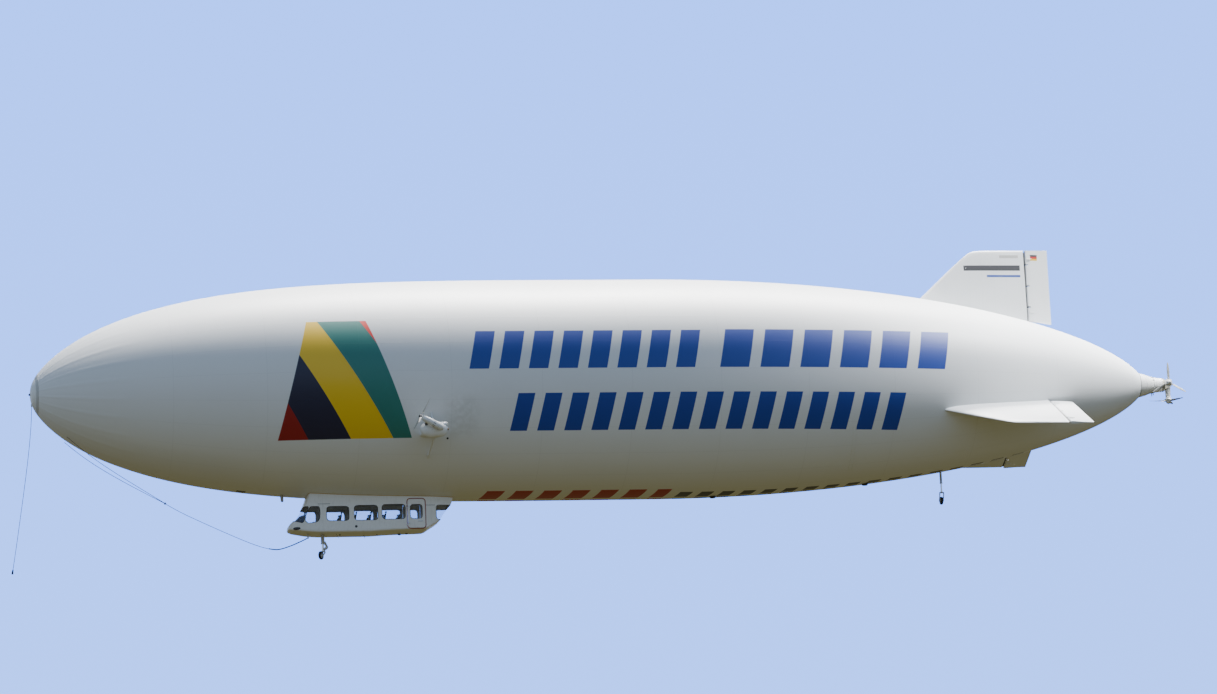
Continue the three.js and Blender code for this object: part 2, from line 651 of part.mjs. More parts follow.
function gondola() {
  const far = 800;
  const [fore, aft, deep, high] = [7900, 13600, -5000, -3200];
  const across = [-far, far];
  const region = (x0, x1, [y0, y1], z0, z1) => solid(box(x0, x1, y0, y1, z0, z1));
  const layer = (inset, thickness) => cut(gondolaBody(inset), gondolaBody(inset + thickness), hull);
  const shell = layer(0, GONDOLA_WALL);
  const glass = layer(GONDOLA_WALL + GAP, GLASS);
  const behind = (x0, x1, depths, heights) => glass.intersect(region(
    x0, x1, depths, Math.min(...heights) - GLASS_MARGIN, Math.max(...heights) + GLASS_MARGIN,
  ));
  const pieces = [];
  const add = (name, shape, finish) => pieces.push(piece(name, shape, finish));

  const cleat = solid(box(CLEAT.front, CLEAT.rear, -CLEAT.half, CLEAT.half, CLEAT.bottom, CLEAT.top));
  const belly = shell.intersect(region(fore, aft, across, deep, SILL_HEIGHT - PANEL_GAP));
  add('gondola_belly', joined(belly, cleat), PAINT_GREY());
  add('gondola_nose', cut(
    shell.intersect(region(fore, NOSE_JOINT, across, SILL_HEIGHT, high)),
    solid(sideSlab(shapeOf(NOSE_GLASS), ...across)),
    solid(sideSlab(shapeOf(PILOT_WINDOW), ...across)),
  ), PAINT_WHITE());
  const noseHeights = [...NOSE_GLASS, ...PILOT_WINDOW].map(([, height]) => height);
  add('windscreen', behind(fore, NOSE_JOINT, across, noseHeights), TINTED_GLASS());
  const tailStart = TAIL_JOINT + PANEL_GAP;
  add('gondola_tail', cut(
    shell.intersect(region(tailStart, aft, across, SILL_HEIGHT, high)),
    windowCut(TAIL_GLASS, ...across, TAIL_GLASS_CORNER),
  ), PAINT_WHITE());
  add('tail_glazing', behind(tailStart, aft, across, [TAIL_GLASS.bottom, TAIL_GLASS.top]), TINTED_GLASS());

  const wallStart = NOSE_JOINT + PANEL_GAP;
  const windowHeights = SIDE_WINDOWS.flatMap(({ bottom, top }) => [bottom, top]);
  for (const [name, side] of [['port', -1], ['starboard', 1]]) {
    const depths = onSide(side, CENTRE_GAP, far);
    const wall = shell.intersect(region(wallStart, TAIL_JOINT, depths, SILL_HEIGHT, high));
    const windows = SIDE_WINDOWS.map((place) => windowCut(place, ...depths));
    const fixed = cut(wall, doorRegion(0, depths), ...windows);
    add(`gondola_${name}_wall`, joined(fixed, doorHinges(side, 'wall')), PAINT_WHITE());
    const leaf = cut(wall.intersect(doorRegion(-DOOR.clearance, depths)), windowCut(DOOR_WINDOW, ...depths));
    add(`${name}_door`, joined(leaf, doorHinges(side, 'door')), PAINT_WHITE());
    add(`${name}_glazing`, behind(wallStart, DOOR.front - 30, depths, windowHeights), TINTED_GLASS());
    add(`${name}_door_glass`, glass.intersect(region(
      DOOR_WINDOW.front - 30, DOOR_WINDOW.rear + 30, depths, DOOR_WINDOW.bottom - 30, DOOR_WINDOW.top + 30,
    )), TINTED_GLASS());
  }

  const plate = (bottom) => gondolaBody(GONDOLA_WALL + GLASS + PANEL_GAP)
    .intersect(region(fore, aft, across, bottom, bottom + PLATE)).subtract(hull);
  add('cabin_floor', plate(FLOOR_HEIGHT), DARK_METAL());
  add('gondola_roof', plate(CEILING_HEIGHT), PAINT_GREY());
  return pieces;
}

function seat(station, y) {
  const outline = shapeOf(SEAT_OUTLINE.map(([x, z]) => [station + x, FLOOR_HEIGHT + z]));
  return solid(sideSlab(outline, y - SEAT_HALF_WIDTH, y + SEAT_HALF_WIDTH));
}

function seatBlock(stations, out) {
  const outs = [-out, out];
  const seats = stations.flatMap((station) => outs.map((y) => seat(station, y)));
  const [first, last] = [stations[0] - 40, stations.at(-1) + 160];
  const foot = FLOOR_HEIGHT + SEAT_FOOT;
  const rails = outs.map((y) => solid(box(first, last, y - 20, y + 20, foot, FLOOR_HEIGHT + 40)));
  const crossRail = solid(box(first, first + 60, -out, out, foot, FLOOR_HEIGHT + 30));
  return joined(...seats, ...rails, crossRail);
}

function cabin() {
  const rows = Array.from({ length: SEAT_ROWS }, (_, row) => FIRST_ROW_STATION + row * ROW_PITCH);
  const consoleBlock = sideSlab(shapeOf(CONSOLE_OUTLINE), -CONSOLE_HALF_WIDTH, CONSOLE_HALF_WIDTH);
  return [
    piece('passenger_seats', seatBlock(rows, SEAT_OUT), SEAT_CLOTH()),
    piece('pilot_seats', seatBlock([PILOT_STATION], PILOT_OUT), SEAT_CLOTH()),
    piece('instrument_console', consoleBlock, DARK_METAL()),
  ];
}

// Landing gear: the trail points to -X before the fork is turned about Z

function gearLeg({ legTop, sleeveEnd, legEnd, station, sleeve, piston, foot }) {
  const post = (from, to, radius) => solid(bar([station, 0, from], [station, 0, to], radius));
  return joined(
    post(legTop, sleeveEnd, sleeve), post(legTop, legEnd, piston), post(legTop + 40, legTop - 30, foot),
    post(sleeveEnd + 20, sleeveEnd - 6, sleeve + 8), post(legEnd + 40, legEnd, piston + 10),
  );
}

// The two links behind a leg that meet in a knee.
function kneeLinks({ station, sleeve, piston, sleeveEnd, legEnd }) {
  const { half, upper, lower, pin, pinHalf } = KNEE;
  const knee = [station + KNEE.behind, KNEE.height];
  const starts = [[station + sleeve - 8, sleeveEnd + 62, upper], [station + piston - 4, legEnd + 46, lower]];
  const bars = starts.flatMap(([x, z, link]) => [-half, half].map((y) =>
    solid(bar([x, y, z], [knee[0], y, knee[1]], link, link, 8))));
  const kneePin = solid(bar([knee[0], -pinHalf, knee[1]], [knee[0], pinHalf, knee[1]], pin, pin, 10));
  return joined(...bars, kneePin);
}

function fork({ legEnd, wheel, trail }) {
  const crown = solid(box(-46, 46, -74, 74, legEnd - 34, legEnd - 6));
  const armOutline = shapeOf([
    [-40, legEnd - 10], [40, legEnd - 10], [40, legEnd - 60], [-trail + 30, wheel - 20],
    [-trail, wheel - 34], [-trail - 30, wheel - 20], [-trail - 30, wheel + 20], [-40, legEnd - 70],
  ]);
  const arms = [-1, 1].map((side) =>
    solid(sideSlab(armOutline, ...onSide(side, FORK_ARM.near, FORK_ARM.away))));
  return joined(crown, ...arms);
}

function wheel({ radius }) {
  const half = WHEEL_WIDTH / 2;
  const profile = [
    [-46, 0], [-46, 22], [-half + 8, 26], [-half, radius * 0.72],
    [-half * 0.65, radius * 0.95], [-half * 0.2, radius], [half * 0.2, radius],
    [half * 0.65, radius * 0.95], [half, radius * 0.72], [half - 8, 26], [46, 22], [46, 0],
  ];
  return turned(profile, 24).rotateZ(Math.PI / 2);
}

function castor(name, gear) {
  const swivel = group(
    gear.station, 0, 0,
    piece(`${name}_fork`, fork(gear), BARE_METAL()),
    group(-gear.trail, 0, gear.wheel, piece(`${name}_wheel`, wheel(gear), RUBBER())),
  );
  swivel.rotation.z = THREE.MathUtils.degToRad(gear.turn);
  return swivel;
}

function landingGear() {
  const belly = solid(box(9000, 9300, -100, 100, BELLY_HEIGHT - GAP, BELLY_HEIGHT + 100));
  const { station } = REAR_GEAR;
  const { behind, top, bottom, radius } = REAR_BRACE;
  const brace = solid(bar([station + behind, 0, top], [station, 0, bottom], radius));
  return [
    piece('front_leg', cut(joined(gearLeg(FRONT_GEAR), kneeLinks(FRONT_GEAR)), belly), BARE_METAL()),
    castor('front', FRONT_GEAR),
    piece('rear_leg', cut(joined(gearLeg(REAR_GEAR), brace), hull), BARE_METAL()),
    castor('rear', REAR_GEAR),
  ];
}

// Lines: routes of (station, y, height)

const NOSE_LINE = [
  [88, 0, -396.4], [88, 0, -460], [84, 0, -600], [72, 0, -850], [48, 0, -1150], [8, 0, -1550],
  [-44, 0, -1980], [-104, 0, -2430], [-170, 0, -2890], [-240, 0, -3360], [-312, 0, -3830],
  [-384, 0, -4300], [-456, 0, -4760], [-524, 0, -5180], [-568, 0, -5450], [-584, 0, -5548],
];
const KNOT = [4205, 0, -3520];
const BOW_LINE = [
  [4238, 0, -3542], [4300, 0, -3582], [4520, 0, -3712], [4840, 0, -3885], [5165, 0, -4045],
  [5520, 0, -4215], [5880, 0, -4385], [6240, 0, -4550], [6600, 0, -4710], [6960, 0, -4860],
  [7300, 0, -4975], [7560, 0, -5025], [7720, 0, -5035], [7880, 0, -5005], [8080, 0, -4942],
  [8240, 0, -4882], [8400, 0, -4813], [8560, 0, -4741], [8654, 0, -4694],
];
// The legs run from the hull to the knot; y is the starboard leg's.
const BOW_LEG = [
  [1130, 505, -1445], [1190, 502, -1492], [1360, 486, -1640], [1580, 462, -1825], [1820, 432, -2015],
  [2080, 397, -2205], [2350, 358, -2390], [2630, 315, -2572], [2910, 268, -2748], [3190, 219, -2918],
  [3460, 168, -3080], [3720, 116, -3234], [3950, 68, -3370], [4110, 32, -3463], [4172, 15, -3499],
];

function line(route, radius = LINE_RADIUS) {
  const points = route.map((point) => new THREE.Vector3(...point));
  const path = new THREE.CatmullRomCurve3(points, false, 'centripetal');
  const outline = new THREE.Shape().absarc(0, 0, radius, 0, Math.PI * 2);
  const steps = Math.round(path.getLength() / LINE_STEP);
  return new THREE.ExtrudeGeometry(outline, { steps, curveSegments: 4, extrudePath: path });
}

function lines() {
  const [endX, , endZ] = NOSE_LINE.at(-1);
  const weight = bar([endX - 0.1, 0, endZ - 0.6], [endX - 24, 0, endZ - 150], 24, 30, 12);
  const knot = new THREE.SphereGeometry(36, 10, 6).translate(...KNOT);
  const leg = (side) => BOW_LEG.map(([x, y, z]) => [x, side * y, z]);
  return [
    piece('nose_line', line(NOSE_LINE), ROPE()),
    piece('nose_line_weight', weight, RUBBER()),
    piece('bow_line', line(BOW_LINE), ROPE()),
    piece('bow_line_knot', knot, ROPE()),
    piece('bow_line_port_leg', line(leg(-1)), ROPE()),
    piece('bow_line_starboard_leg', line(leg(1)), ROPE()),
  ];
}

// Assembly

const airship = new THREE.Group();
const stations = group(-BUOYANCY_STATION, 0, 0);
airship.add(stations);

stations.add(
  piece('envelope', envelope(), FABRIC_WHITE()),
  piece('nose_cap', noseCap(), PAINT_WHITE()),
  piece('bow_ring', bowRing(), DARK_METAL()),
  piece('mooring_probe', mooringProbe(), DARK_METAL()),
  piece('front_air_valve', airValve(21800), DARK_METAL()),
  piece('rear_air_valve', airValve(26850), DARK_METAL()),
);

for (const [name, turn] of [['top', 0], ['port', LOWER_FIN_ANGLE], ['starboard', -LOWER_FIN_ANGLE]]) {
  const tail = group(
    0, 0, 0,
    piece(`${name}_fin`, fin(turn), FABRIC_WHITE()),
    piece(`${name}_rudder`, rudder(), FABRIC_WHITE()),
  );
  tail.rotation.x = THREE.MathUtils.degToRad(turn);
  stations.add(tail);
}

stations.add(
  ...sideDrive('port', -1),
  ...sideDrive('starboard', 1),
  ...sternDrive(),
  ...gondola(),
  ...cabin(),
  ...landingGear(),
  ...lines(),
);

export default airship;
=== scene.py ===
"""Looks of the half-scale semi-rigid airship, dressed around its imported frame.

Shapes are drawn in millimetres: stations run aft from the nose tip along X, port is -Y and up is +Z.
The drawing is then set into the frame's metres, whose origin is 17.5 m aft of the nose tip.
"""

import logging
from dataclasses import dataclass, field
from enum import Enum
from functools import cache, cached_property
from math import copysign, cos, hypot, pi, radians, sin, sqrt
from typing import Callable, Iterable, Sequence, Union

import bmesh
import bpy
from mathutils import Matrix, Vector


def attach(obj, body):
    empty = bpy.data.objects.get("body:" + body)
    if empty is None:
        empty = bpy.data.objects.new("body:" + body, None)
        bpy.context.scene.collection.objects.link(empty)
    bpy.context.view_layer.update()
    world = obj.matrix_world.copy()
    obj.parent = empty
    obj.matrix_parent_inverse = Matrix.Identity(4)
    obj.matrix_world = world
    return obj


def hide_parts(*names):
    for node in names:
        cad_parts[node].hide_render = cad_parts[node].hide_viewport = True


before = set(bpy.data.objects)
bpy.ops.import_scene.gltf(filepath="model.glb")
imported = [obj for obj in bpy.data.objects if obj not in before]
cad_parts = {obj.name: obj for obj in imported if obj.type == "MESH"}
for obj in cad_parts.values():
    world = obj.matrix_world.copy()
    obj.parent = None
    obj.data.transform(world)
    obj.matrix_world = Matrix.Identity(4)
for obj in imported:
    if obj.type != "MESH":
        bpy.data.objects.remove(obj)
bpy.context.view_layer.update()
LOG = logging.getLogger("airship")

Point = Sequence[float]
Rows = Sequence[tuple[float, float]]
Table = Sequence[Sequence[float]]
Outline = list[tuple[float, float]]
Colour = tuple[float, float, float]
Operand = Union["Value", float]

MILLIMETRE = 0.001
ORIGIN_STATION = 17500.0
DRAWING = Matrix.Translation((-ORIGIN_STATION * MILLIMETRE, 0.0, 0.0)) @ Matrix.Scale(MILLIMETRE, 4)
WELD = 0.05 * MILLIMETRE
BEVELLED_ANGLE = radians(30)
SHARP_ANGLE = radians(32)


class Side(Enum):
    """The two sides of the ship, as signs of Y."""

    PORT = -1
    STARBOARD = 1

    @property
    def label(self) -> str:
        """The side's name as pieces and bodies carry it."""
        return self.name.lower()


class Plane(Enum):
    """Views that an outline may be drawn in."""

    SIDE = "station and height"
    PLAN = "station and width"


class Trim(Enum):
    """Ways in which one solid trims another."""

    CUT = "DIFFERENCE"
    KEEP = "INTERSECT"
    JOIN = "UNION"


# Shapes


@dataclass
class Shape:
    """Points and faces of one skin, in the drawing's millimetres."""

    points: list[Vector]
    faces: list[tuple[int, ...]]

    def __add__(self, other: "Shape") -> "Shape":
        """Puts two skins side by side in one."""
        first = len(self.points)
        moved = [tuple(index + first for index in face) for face in other.faces]
        return Shape(self.points + other.points, self.faces + moved)

    def moved(self, matrix: Matrix) -> "Shape":
        """A copy that a matrix has moved."""
        faces = self.faces if matrix.determinant() > 0 else [face[::-1] for face in self.faces]
        return Shape([matrix @ point for point in self.points], faces)

    def mirrored(self) -> "Shape":
        """A copy on the other side of the ship."""
        return self.moved(Matrix.Scale(-1, 4, Vector((0, 1, 0))))

    def on(self, side: Side) -> "Shape":
        """The same shape if it is drawn to port, or its copy to starboard."""
        return self if side is Side.PORT else self.mirrored()


def together(shapes: Iterable[Shape]) -> Shape:
    """Puts several skins side by side in one."""
    return sum(shapes, Shape([], []))


def spun(degrees: float, axis: str = "X") -> Matrix:
    """A turn about one of the drawing's axes."""
    return Matrix.Rotation(radians(degrees), 4, axis)


def turns(count: int) -> list[float]:
    """Angles spread evenly round a full turn."""
    return [2 * pi * step / count for step in range(count)]


def ring(station: float, radius: float, sides: int) -> list[Point]:
    """The points of one ring about X."""
    return [(station, radius * sin(turn), radius * cos(turn)) for turn in turns(sides)]


def loft(rings: Sequence[Sequence[Point]], capped: bool = True, endless: bool = False) -> Shape:
    """Draws a skin over rings of equal point counts.

    Args:
        rings: closed rings of points, in order along the skin.
        capped: whether a face closes each end.
        endless: whether the last ring joins the first.

    Returns:
        The skin.
    """
    sides, count = len(rings[0]), len(rings)
    faces = []
    for number in range(count if endless else count - 1):
        here = number * sides
        there = (number + 1) % count * sides
        for side in range(sides):
            after = (side + 1) % sides
            faces.append((here + side, here + after, there + after, there + side))
    if capped and not endless:
        faces.append(tuple(range(sides))[::-1])
        faces.append(tuple(range((count - 1) * sides, count * sides)))
    return Shape([Vector(point) for points in rings for point in points], faces)


def lathe(rows: Rows, sides: int = 48, endless: bool = False) -> Shape:
    """Turns rows of station and radius about X.

    Args:
        rows: station and radius of each ring; a radius of nothing is a point on the axis.
        sides: points of each ring.
        endless: whether the last row joins the first, as in a tube with a wall.

    Returns:
        The turned skin.
    """
    return loft([ring(station, radius, sides) for station, radius in rows], capped=False, endless=endless)


def tube(path: Sequence[Point], radius: float, sides: int = 12) -> Shape:
    """Draws a round tube along a path.

    Args:
        path: points of the centre line.
        radius: the tube's radius.
        sides: points of each ring.

    Returns:
        The tube, closed at both ends.
    """
    points = [Vector(point) for point in path]
    last = len(points) - 1
    across = (points[1] - points[0]).orthogonal().normalized()
    rings = []
    for index, point in enumerate(points):
        run = (points[min(index + 1, last)] - points[max(index - 1, 0)]).normalized()
        across = (across - run * across.dot(run)).normalized()
        beside = run.cross(across)
        spokes = [across * cos(turn) + beside * sin(turn) for turn in turns(sides)]
        rings.append([point + spoke * radius for spoke in spokes])
    return loft(rings)


def turned(rows: Rows, start: Point, end: Point, sides: int = 32) -> Shape:
    """Turns rows of distance and radius about the line from one point towards another.

    Args:
        rows: distance from the start, and radius there.
        start: where the distance is nothing.
        end: a point that the axis runs towards.
        sides: points of each ring.

    Returns:
        The turned skin.
    """
    run = Vector(end) - Vector(start)
    turn = Vector((1, 0, 0)).rotation_difference(run).to_matrix().to_4x4()
    return lathe(rows, sides).moved(Matrix.Translation(Vector(start)) @ turn)


def rod(
    start: Point, end: Point, radius: float, end_radius: float | None = None, sides: int = 24,
    edge: float = 2.0,
) -> Shape:
    """Draws a round rod with softened edges.

    Args:
        start: centre of the first end.
        end: centre of the other end.
        radius: radius at the start.
        end_radius: radius at the end, where it isn't the same.
        sides: points of each ring.
        edge: how much is taken off each sharp edge.

    Returns:
        The closed rod.
    """
    far = radius if end_radius is None else end_radius
    length = (Vector(end) - Vector(start)).length
    near_rows = [(0, 0), (0, radius - edge), (edge, radius)]
    rows = [*near_rows, (length - edge, far), (length, far - edge), (length, 0)]
    return turned(rows, start, end, sides)


def slab(outline: Outline, plane: Plane, low: float, high: float) -> Shape:
    """Draws a flat piece with an outline.

    Args:
        outline: corners of the outline in its view.
        plane: the view.
        low: depth of one face.
        high: depth of the other face.

    Returns:
        The closed piece.
    """
    if plane is Plane.SIDE:
        return loft([[(x, depth, z) for x, z in outline] for depth in (low, high)])
    return loft([[(x, y, depth) for x, y in outline] for depth in (low, high)])


def block(low: Point, high: Point) -> Shape:
    """Draws a box between its lowest and highest corners."""
    return slab(rectangle(low[0], high[0], low[1], high[1]), Plane.PLAN, low[2], high[2])


def rectangle(x0: float, x1: float, y0: float, y1: float) -> Outline:
    """The four corners of an upright rectangle."""
    return [(x0, y0), (x1, y0), (x1, y1), (x0, y1)]


def rounded(outline: Outline, radius: float, steps: int = 5) -> Outline:
    """Rounds the corners of an outline.

    Args:
        outline: the sharp corners.
        radius: how far along each edge a rounding starts, or less where the edge is short.
        steps: edges of each rounding.

    Returns:
        The points of the rounded outline.
    """
    corners = [Vector(point) for point in outline]
    result = []
    for index, corner in enumerate(corners):
        before = corners[index - 1] - corner
        after = corners[(index + 1) % len(corners)] - corner
        reach = min(radius, before.length * 0.48, after.length * 0.48)
        start = corner + before.normalized() * reach
        end = corner + after.normalized() * reach
        for step in range(steps + 1):
            part = step / steps
            point = start * (1 - part) ** 2 + corner * 2 * part * (1 - part) + end * part ** 2
            result.append((point.x, point.y))
    return result


def grown(outline: Outline, distance: float) -> Outline:
    """Moves an outline outward.

    Args:
        outline: the points, in order round it.
        distance: how far each edge moves out.

    Returns:
        The moved points.
    """
    points = [Vector(point) for point in outline]
    area = sum(a.x * b.y - b.x * a.y for a, b in zip(points, points[1:] + points[:1]))
    result = []
    for index, point in enumerate(points):
        before = (point - points[index - 1]).normalized()
        after = (points[(index + 1) % len(points)] - point).normalized()
        normal = Vector((before.y + after.y, -before.x - after.x)) * copysign(1, area)
        moved = point + normal * distance / max(normal.length_squared / 2, 0.35)
        result.append((moved.x, moved.y))
    return result


def linear(rows: Rows, at: float) -> float:
    """Reads a value between rows of place and value."""
    at = min(max(at, rows[0][0]), rows[-1][0])
    for (first, low), (last, high) in zip(rows, rows[1:]):
        if at <= last:
            return low + (high - low) * (at - first) / (last - first)
    return rows[-1][1]


def smooth_rows(rows: Sequence[Point], at: float) -> list[float]:
    """Reads a smooth curve through rows of numbers.

    Args:
        rows: each row's place followed by its values, in order.
        at: the place to read.

    Returns:
        The values there, never beyond those of the two rows beside it.
    """
    places = [row[0] for row in rows]
    at = min(max(at, places[0]), places[-1])
    index = max(i for i in range(len(rows) - 1) if places[i] <= at)
    gap = places[index + 1] - places[index]
    part = (at - places[index]) / gap

    def slope(row: int, column: int) -> float:
        """The slope at a row, flat where the values turn back."""
        near = [
            (rows[i + 1][column] - rows[i][column]) / (places[i + 1] - places[i])
            for i in (row - 1, row) if 0 <= i < len(rows) - 1
        ]
        if len(near) == 1:
            return near[0]
        left, right = near
        return 0.0 if left * right <= 0 else 2 * left * right / (left + right)

    return [
        (2 * part ** 3 - 3 * part ** 2 + 1) * rows[index][column]
        + (part ** 3 - 2 * part ** 2 + part) * (slope(index, column) * gap)
        + (3 * part ** 2 - 2 * part ** 3) * rows[index + 1][column]
        + (part ** 3 - part ** 2) * (slope(index + 1, column) * gap)
        for column in range(1, len(rows[0]))
    ]


def through(points: Sequence[Point], step: float) -> list[Vector]:
    """Draws a smooth line through points, as a centripetal curve.

    Args:
        points: the points of the route.
        step: about how far apart the points of the line are.

    Returns:
        The points of the line.
    """
    route = [Vector(point) for point in points]
    padded = [route[0] * 2 - route[1], *route, route[-1] * 2 - route[-2]]
    line = []
    for four in zip(padded, padded[1:], padded[2:], padded[3:]):
        times = [0.0]
        for a, b in zip(four, four[1:]):
            times.append(times[-1] + max((b - a).length, 1e-6) ** 0.5)
        count = max(2, round((four[2] - four[1]).length / step))
        for index in range(count):
            time = times[1] + (times[2] - times[1]) * index / count
            row = list(four)
            for level in (1, 2):
                row = [
                    row[i].lerp(row[i + 1], (time - times[i]) / (times[i + level] - times[i]))
                    for i in range(4 - level)
                ]
            line.append(row[0].lerp(row[1], (time - times[1]) / (times[2] - times[1])))
    return [*line, route[-1]]


def bare_object(shape: Shape, name: str = "draft") -> bpy.types.Object:
    """Makes an undressed object of a shape, still in millimetres, with its faces turned outward."""
    mesh = bpy.data.meshes.new(name)
    mesh.from_pydata(shape.points, [], shape.faces)
    edit = bmesh.new()
    edit.from_mesh(mesh)
    bmesh.ops.remove_doubles(edit, verts=edit.verts, dist=0.02)
    bmesh.ops.recalc_face_normals(edit, faces=edit.faces)
    edit.to_mesh(mesh)
    edit.free()
    draft = bpy.data.objects.new(name, mesh)
    bpy.context.collection.objects.link(draft)
    return draft


def trimmed(base: Shape, *steps: tuple[Trim, Shape]) -> Shape:
    """Trims one solid with others, in order.

    Args:
        base: the solid to trim.
        steps: the way of trimming and the solid that trims, for each step.

    Returns:
        The trimmed solid.
    """
    draft = bare_object(base)
    tools = [bare_object(shape, "tool") for _, shape in steps]
    for (trim, _), tool in zip(steps, tools):
        modifier = draft.modifiers.new("Trim", "BOOLEAN")
        modifier.operation, modifier.solver, modifier.object = trim.value, "EXACT", tool
    evaluated = draft.evaluated_get(bpy.context.evaluated_depsgraph_get())
    mesh = evaluated.to_mesh()
    faces = [tuple(face.vertices) for face in mesh.polygons]
    result = Shape([vertex.co.copy() for vertex in mesh.vertices], faces)
    evaluated.to_mesh_clear()
    for thing in (draft, *tools):
        data = thing.data
        bpy.data.objects.remove(thing)
        bpy.data.meshes.remove(data)
    return result


# Shader sheets


def operator(operation: str, reflected: bool = False) -> Callable[["Value", Operand], "Value"]:
    """Makes the method behind one arithmetic operator of Value.

    Args:
        operation: the Math node's operation.
        reflected: whether the other operand comes first.

    Returns:
        The method.
    """
    def method(value: "Value", other: Operand) -> "Value":
        """The two operands, worked out by a Math node."""
        return value.worked(operation, *((other, value) if reflected else (value, other)))
    return method


class Value:
    """A number that varies over a surface, which can be worked with as in plain arithmetic."""

    __add__ = operator("ADD")
    __radd__ = operator("ADD", reflected=True)
    __sub__ = operator("SUBTRACT")
    __rsub__ = operator("SUBTRACT", reflected=True)
    __mul__ = operator("MULTIPLY")
    __rmul__ = operator("MULTIPLY", reflected=True)
    __truediv__ = operator("DIVIDE")
    __rtruediv__ = operator("DIVIDE", reflected=True)
    # The greater of two, and the angle whose sine and cosine they are.
    most = operator("MAXIMUM")
    turn_of = operator("ARCTAN2")

    def __init__(self, sheet: "Sheet", socket: bpy.types.NodeSocket) -> None:
        """Wraps a socket of a sheet."""
        self.sheet = sheet
        self.socket = socket

    def worked(self, operation: str, *operands: Operand) -> "Value":
        """Adds a Math node to the sheet."""
        node = self.sheet.node("ShaderNodeMath", {"operation": operation}, dict(enumerate(operands)))
        return Value(self.sheet, node.outputs[0])

    def __abs__(self) -> "Value":
        """The size of this, without its sign."""
        return self.worked("ABSOLUTE", self)

    def part(self) -> "Value":
        """What is left after the whole number below."""
        return self.worked("FRACT", self)

    def sine(self) -> "Value":
        """The sine of this as an angle."""
        return self.worked("SINE", self)

    def above(self, edge: float, soft: float = 0.004) -> "Value":
        """A mask that is one above an edge and nothing below it, soft by so much each way."""
        inputs = {0: self, 1: edge - soft, 2: edge + soft, 3: 0.0, 4: 1.0}
        node = self.sheet.node("ShaderNodeMapRange", {"interpolation_type": "SMOOTHSTEP"}, inputs)
        return Value(self.sheet, node.outputs[0])

    def within(self, low: float, high: float, soft: float = 0.004) -> "Value":
        """A mask that is one between two edges."""
        return self.above(low, soft) * (1 - self.above(high, soft))


class Sheet:
    """The node tree of one material or of the surroundings, with its shader and its output."""

    def __init__(
        self, tree: bpy.types.NodeTree, shader: str = "ShaderNodeBsdfPrincipled",
        output: str = "ShaderNodeOutputMaterial",
    ) -> None:
        """Starts a tree anew.

        Args:
            tree: the tree.
            shader: the type of its shader node.
            output: the type of its output node.
        """
        self.tree = tree
        tree.nodes.clear()
        self.shader = self.node(shader)
        self.node(output, inputs={"Surface": self.shader.outputs[0]})

    def feed(self, socket: bpy.types.NodeSocket, value: object) -> None:
        """Sets a socket, or links it where the value is a socket or a Value."""
        if isinstance(value, Value):
            value = value.socket
        if isinstance(value, bpy.types.NodeSocket):
            self.tree.links.new(value, socket)
        elif isinstance(value, tuple) and len(value) == 3 and socket.type == "RGBA":
            socket.default_value = (*value, 1.0)
        else:
            socket.default_value = value

    def node(self, kind: str, settings: dict | None = None, inputs: dict | None = None) -> bpy.types.Node:
        """Adds a node.

        Args:
            kind: the node's type.
            settings: what is set first; "stops" holds a ramp's places and colours.
            inputs: values or links by the name or the number of the socket.

        Returns:
            The node.
        """
        node = self.tree.nodes.new(kind)
        for key, setting in (settings or {}).items():
            if key != "stops":
                setattr(node, key, setting)
                continue
            elements = node.color_ramp.elements
            for index, (place, colour) in enumerate(setting):
                stop = elements[index] if index < len(elements) else elements.new(place)
                stop.position = place
                stop.color = (*colour, 1.0)
        for key, value in (inputs or {}).items():
            self.feed(node.inputs[key], value)
        return node

    def dress(self, **sockets: object) -> None:
        """Feeds the shader's sockets, named with underscores for spaces."""
        for key, value in sockets.items():
            self.feed(self.shader.inputs[key.replace("_", " ").title().replace("Ior", "IOR")], value)

    def mix(self, mask: Operand, first: object, second: object) -> bpy.types.NodeSocket:
        """Mixes two colours: the second shows where the mask is one."""
        return self.node("ShaderNodeMix", {"data_type": "RGBA"}, {0: mask, 6: first, 7: second}).outputs[2]

    def place(self) -> bpy.types.NodeSocket:
        """The place on the object at rest, in the frame's metres."""
        return self.node("ShaderNodeTexCoord").outputs["Object"]

    def axes(self) -> tuple[Value, Value, Value]:
        """The three numbers of the place."""
        split = self.node("ShaderNodeSeparateXYZ", inputs={0: self.place()})
        return tuple(Value(self, output) for output in split.outputs[:3])

    def noise(self, scale: float, detail: float = 3.0, stretch: Point = (1, 1, 1)) -> Value:
        """Cloudy noise from nothing to one.

        Args:
            scale: clouds in each metre.
            detail: how finely they are broken up.
            stretch: a share of the scale for each axis.

        Returns:
            The noise.
        """
        inputs = {0: self.place(), 1: tuple(stretch)}
        spread = self.node("ShaderNodeVectorMath", {"operation": "MULTIPLY"}, inputs)
        inputs = {"Vector": spread.outputs[0], "Scale": scale, "Detail": detail, "Roughness": 0.55}
        return Value(self, self.node("ShaderNodeTexNoise", {"noise_dimensions": "3D"}, inputs).outputs[0])

    def bump(self, height: Value, depth: float, strength: float = 1.0) -> None:
        """Raises the surface by a height times a depth in metres."""
        node = self.node("ShaderNodeBump", inputs={"Height": height, "Distance": depth, "Strength": strength})
        self.dress(normal=node.outputs[0])


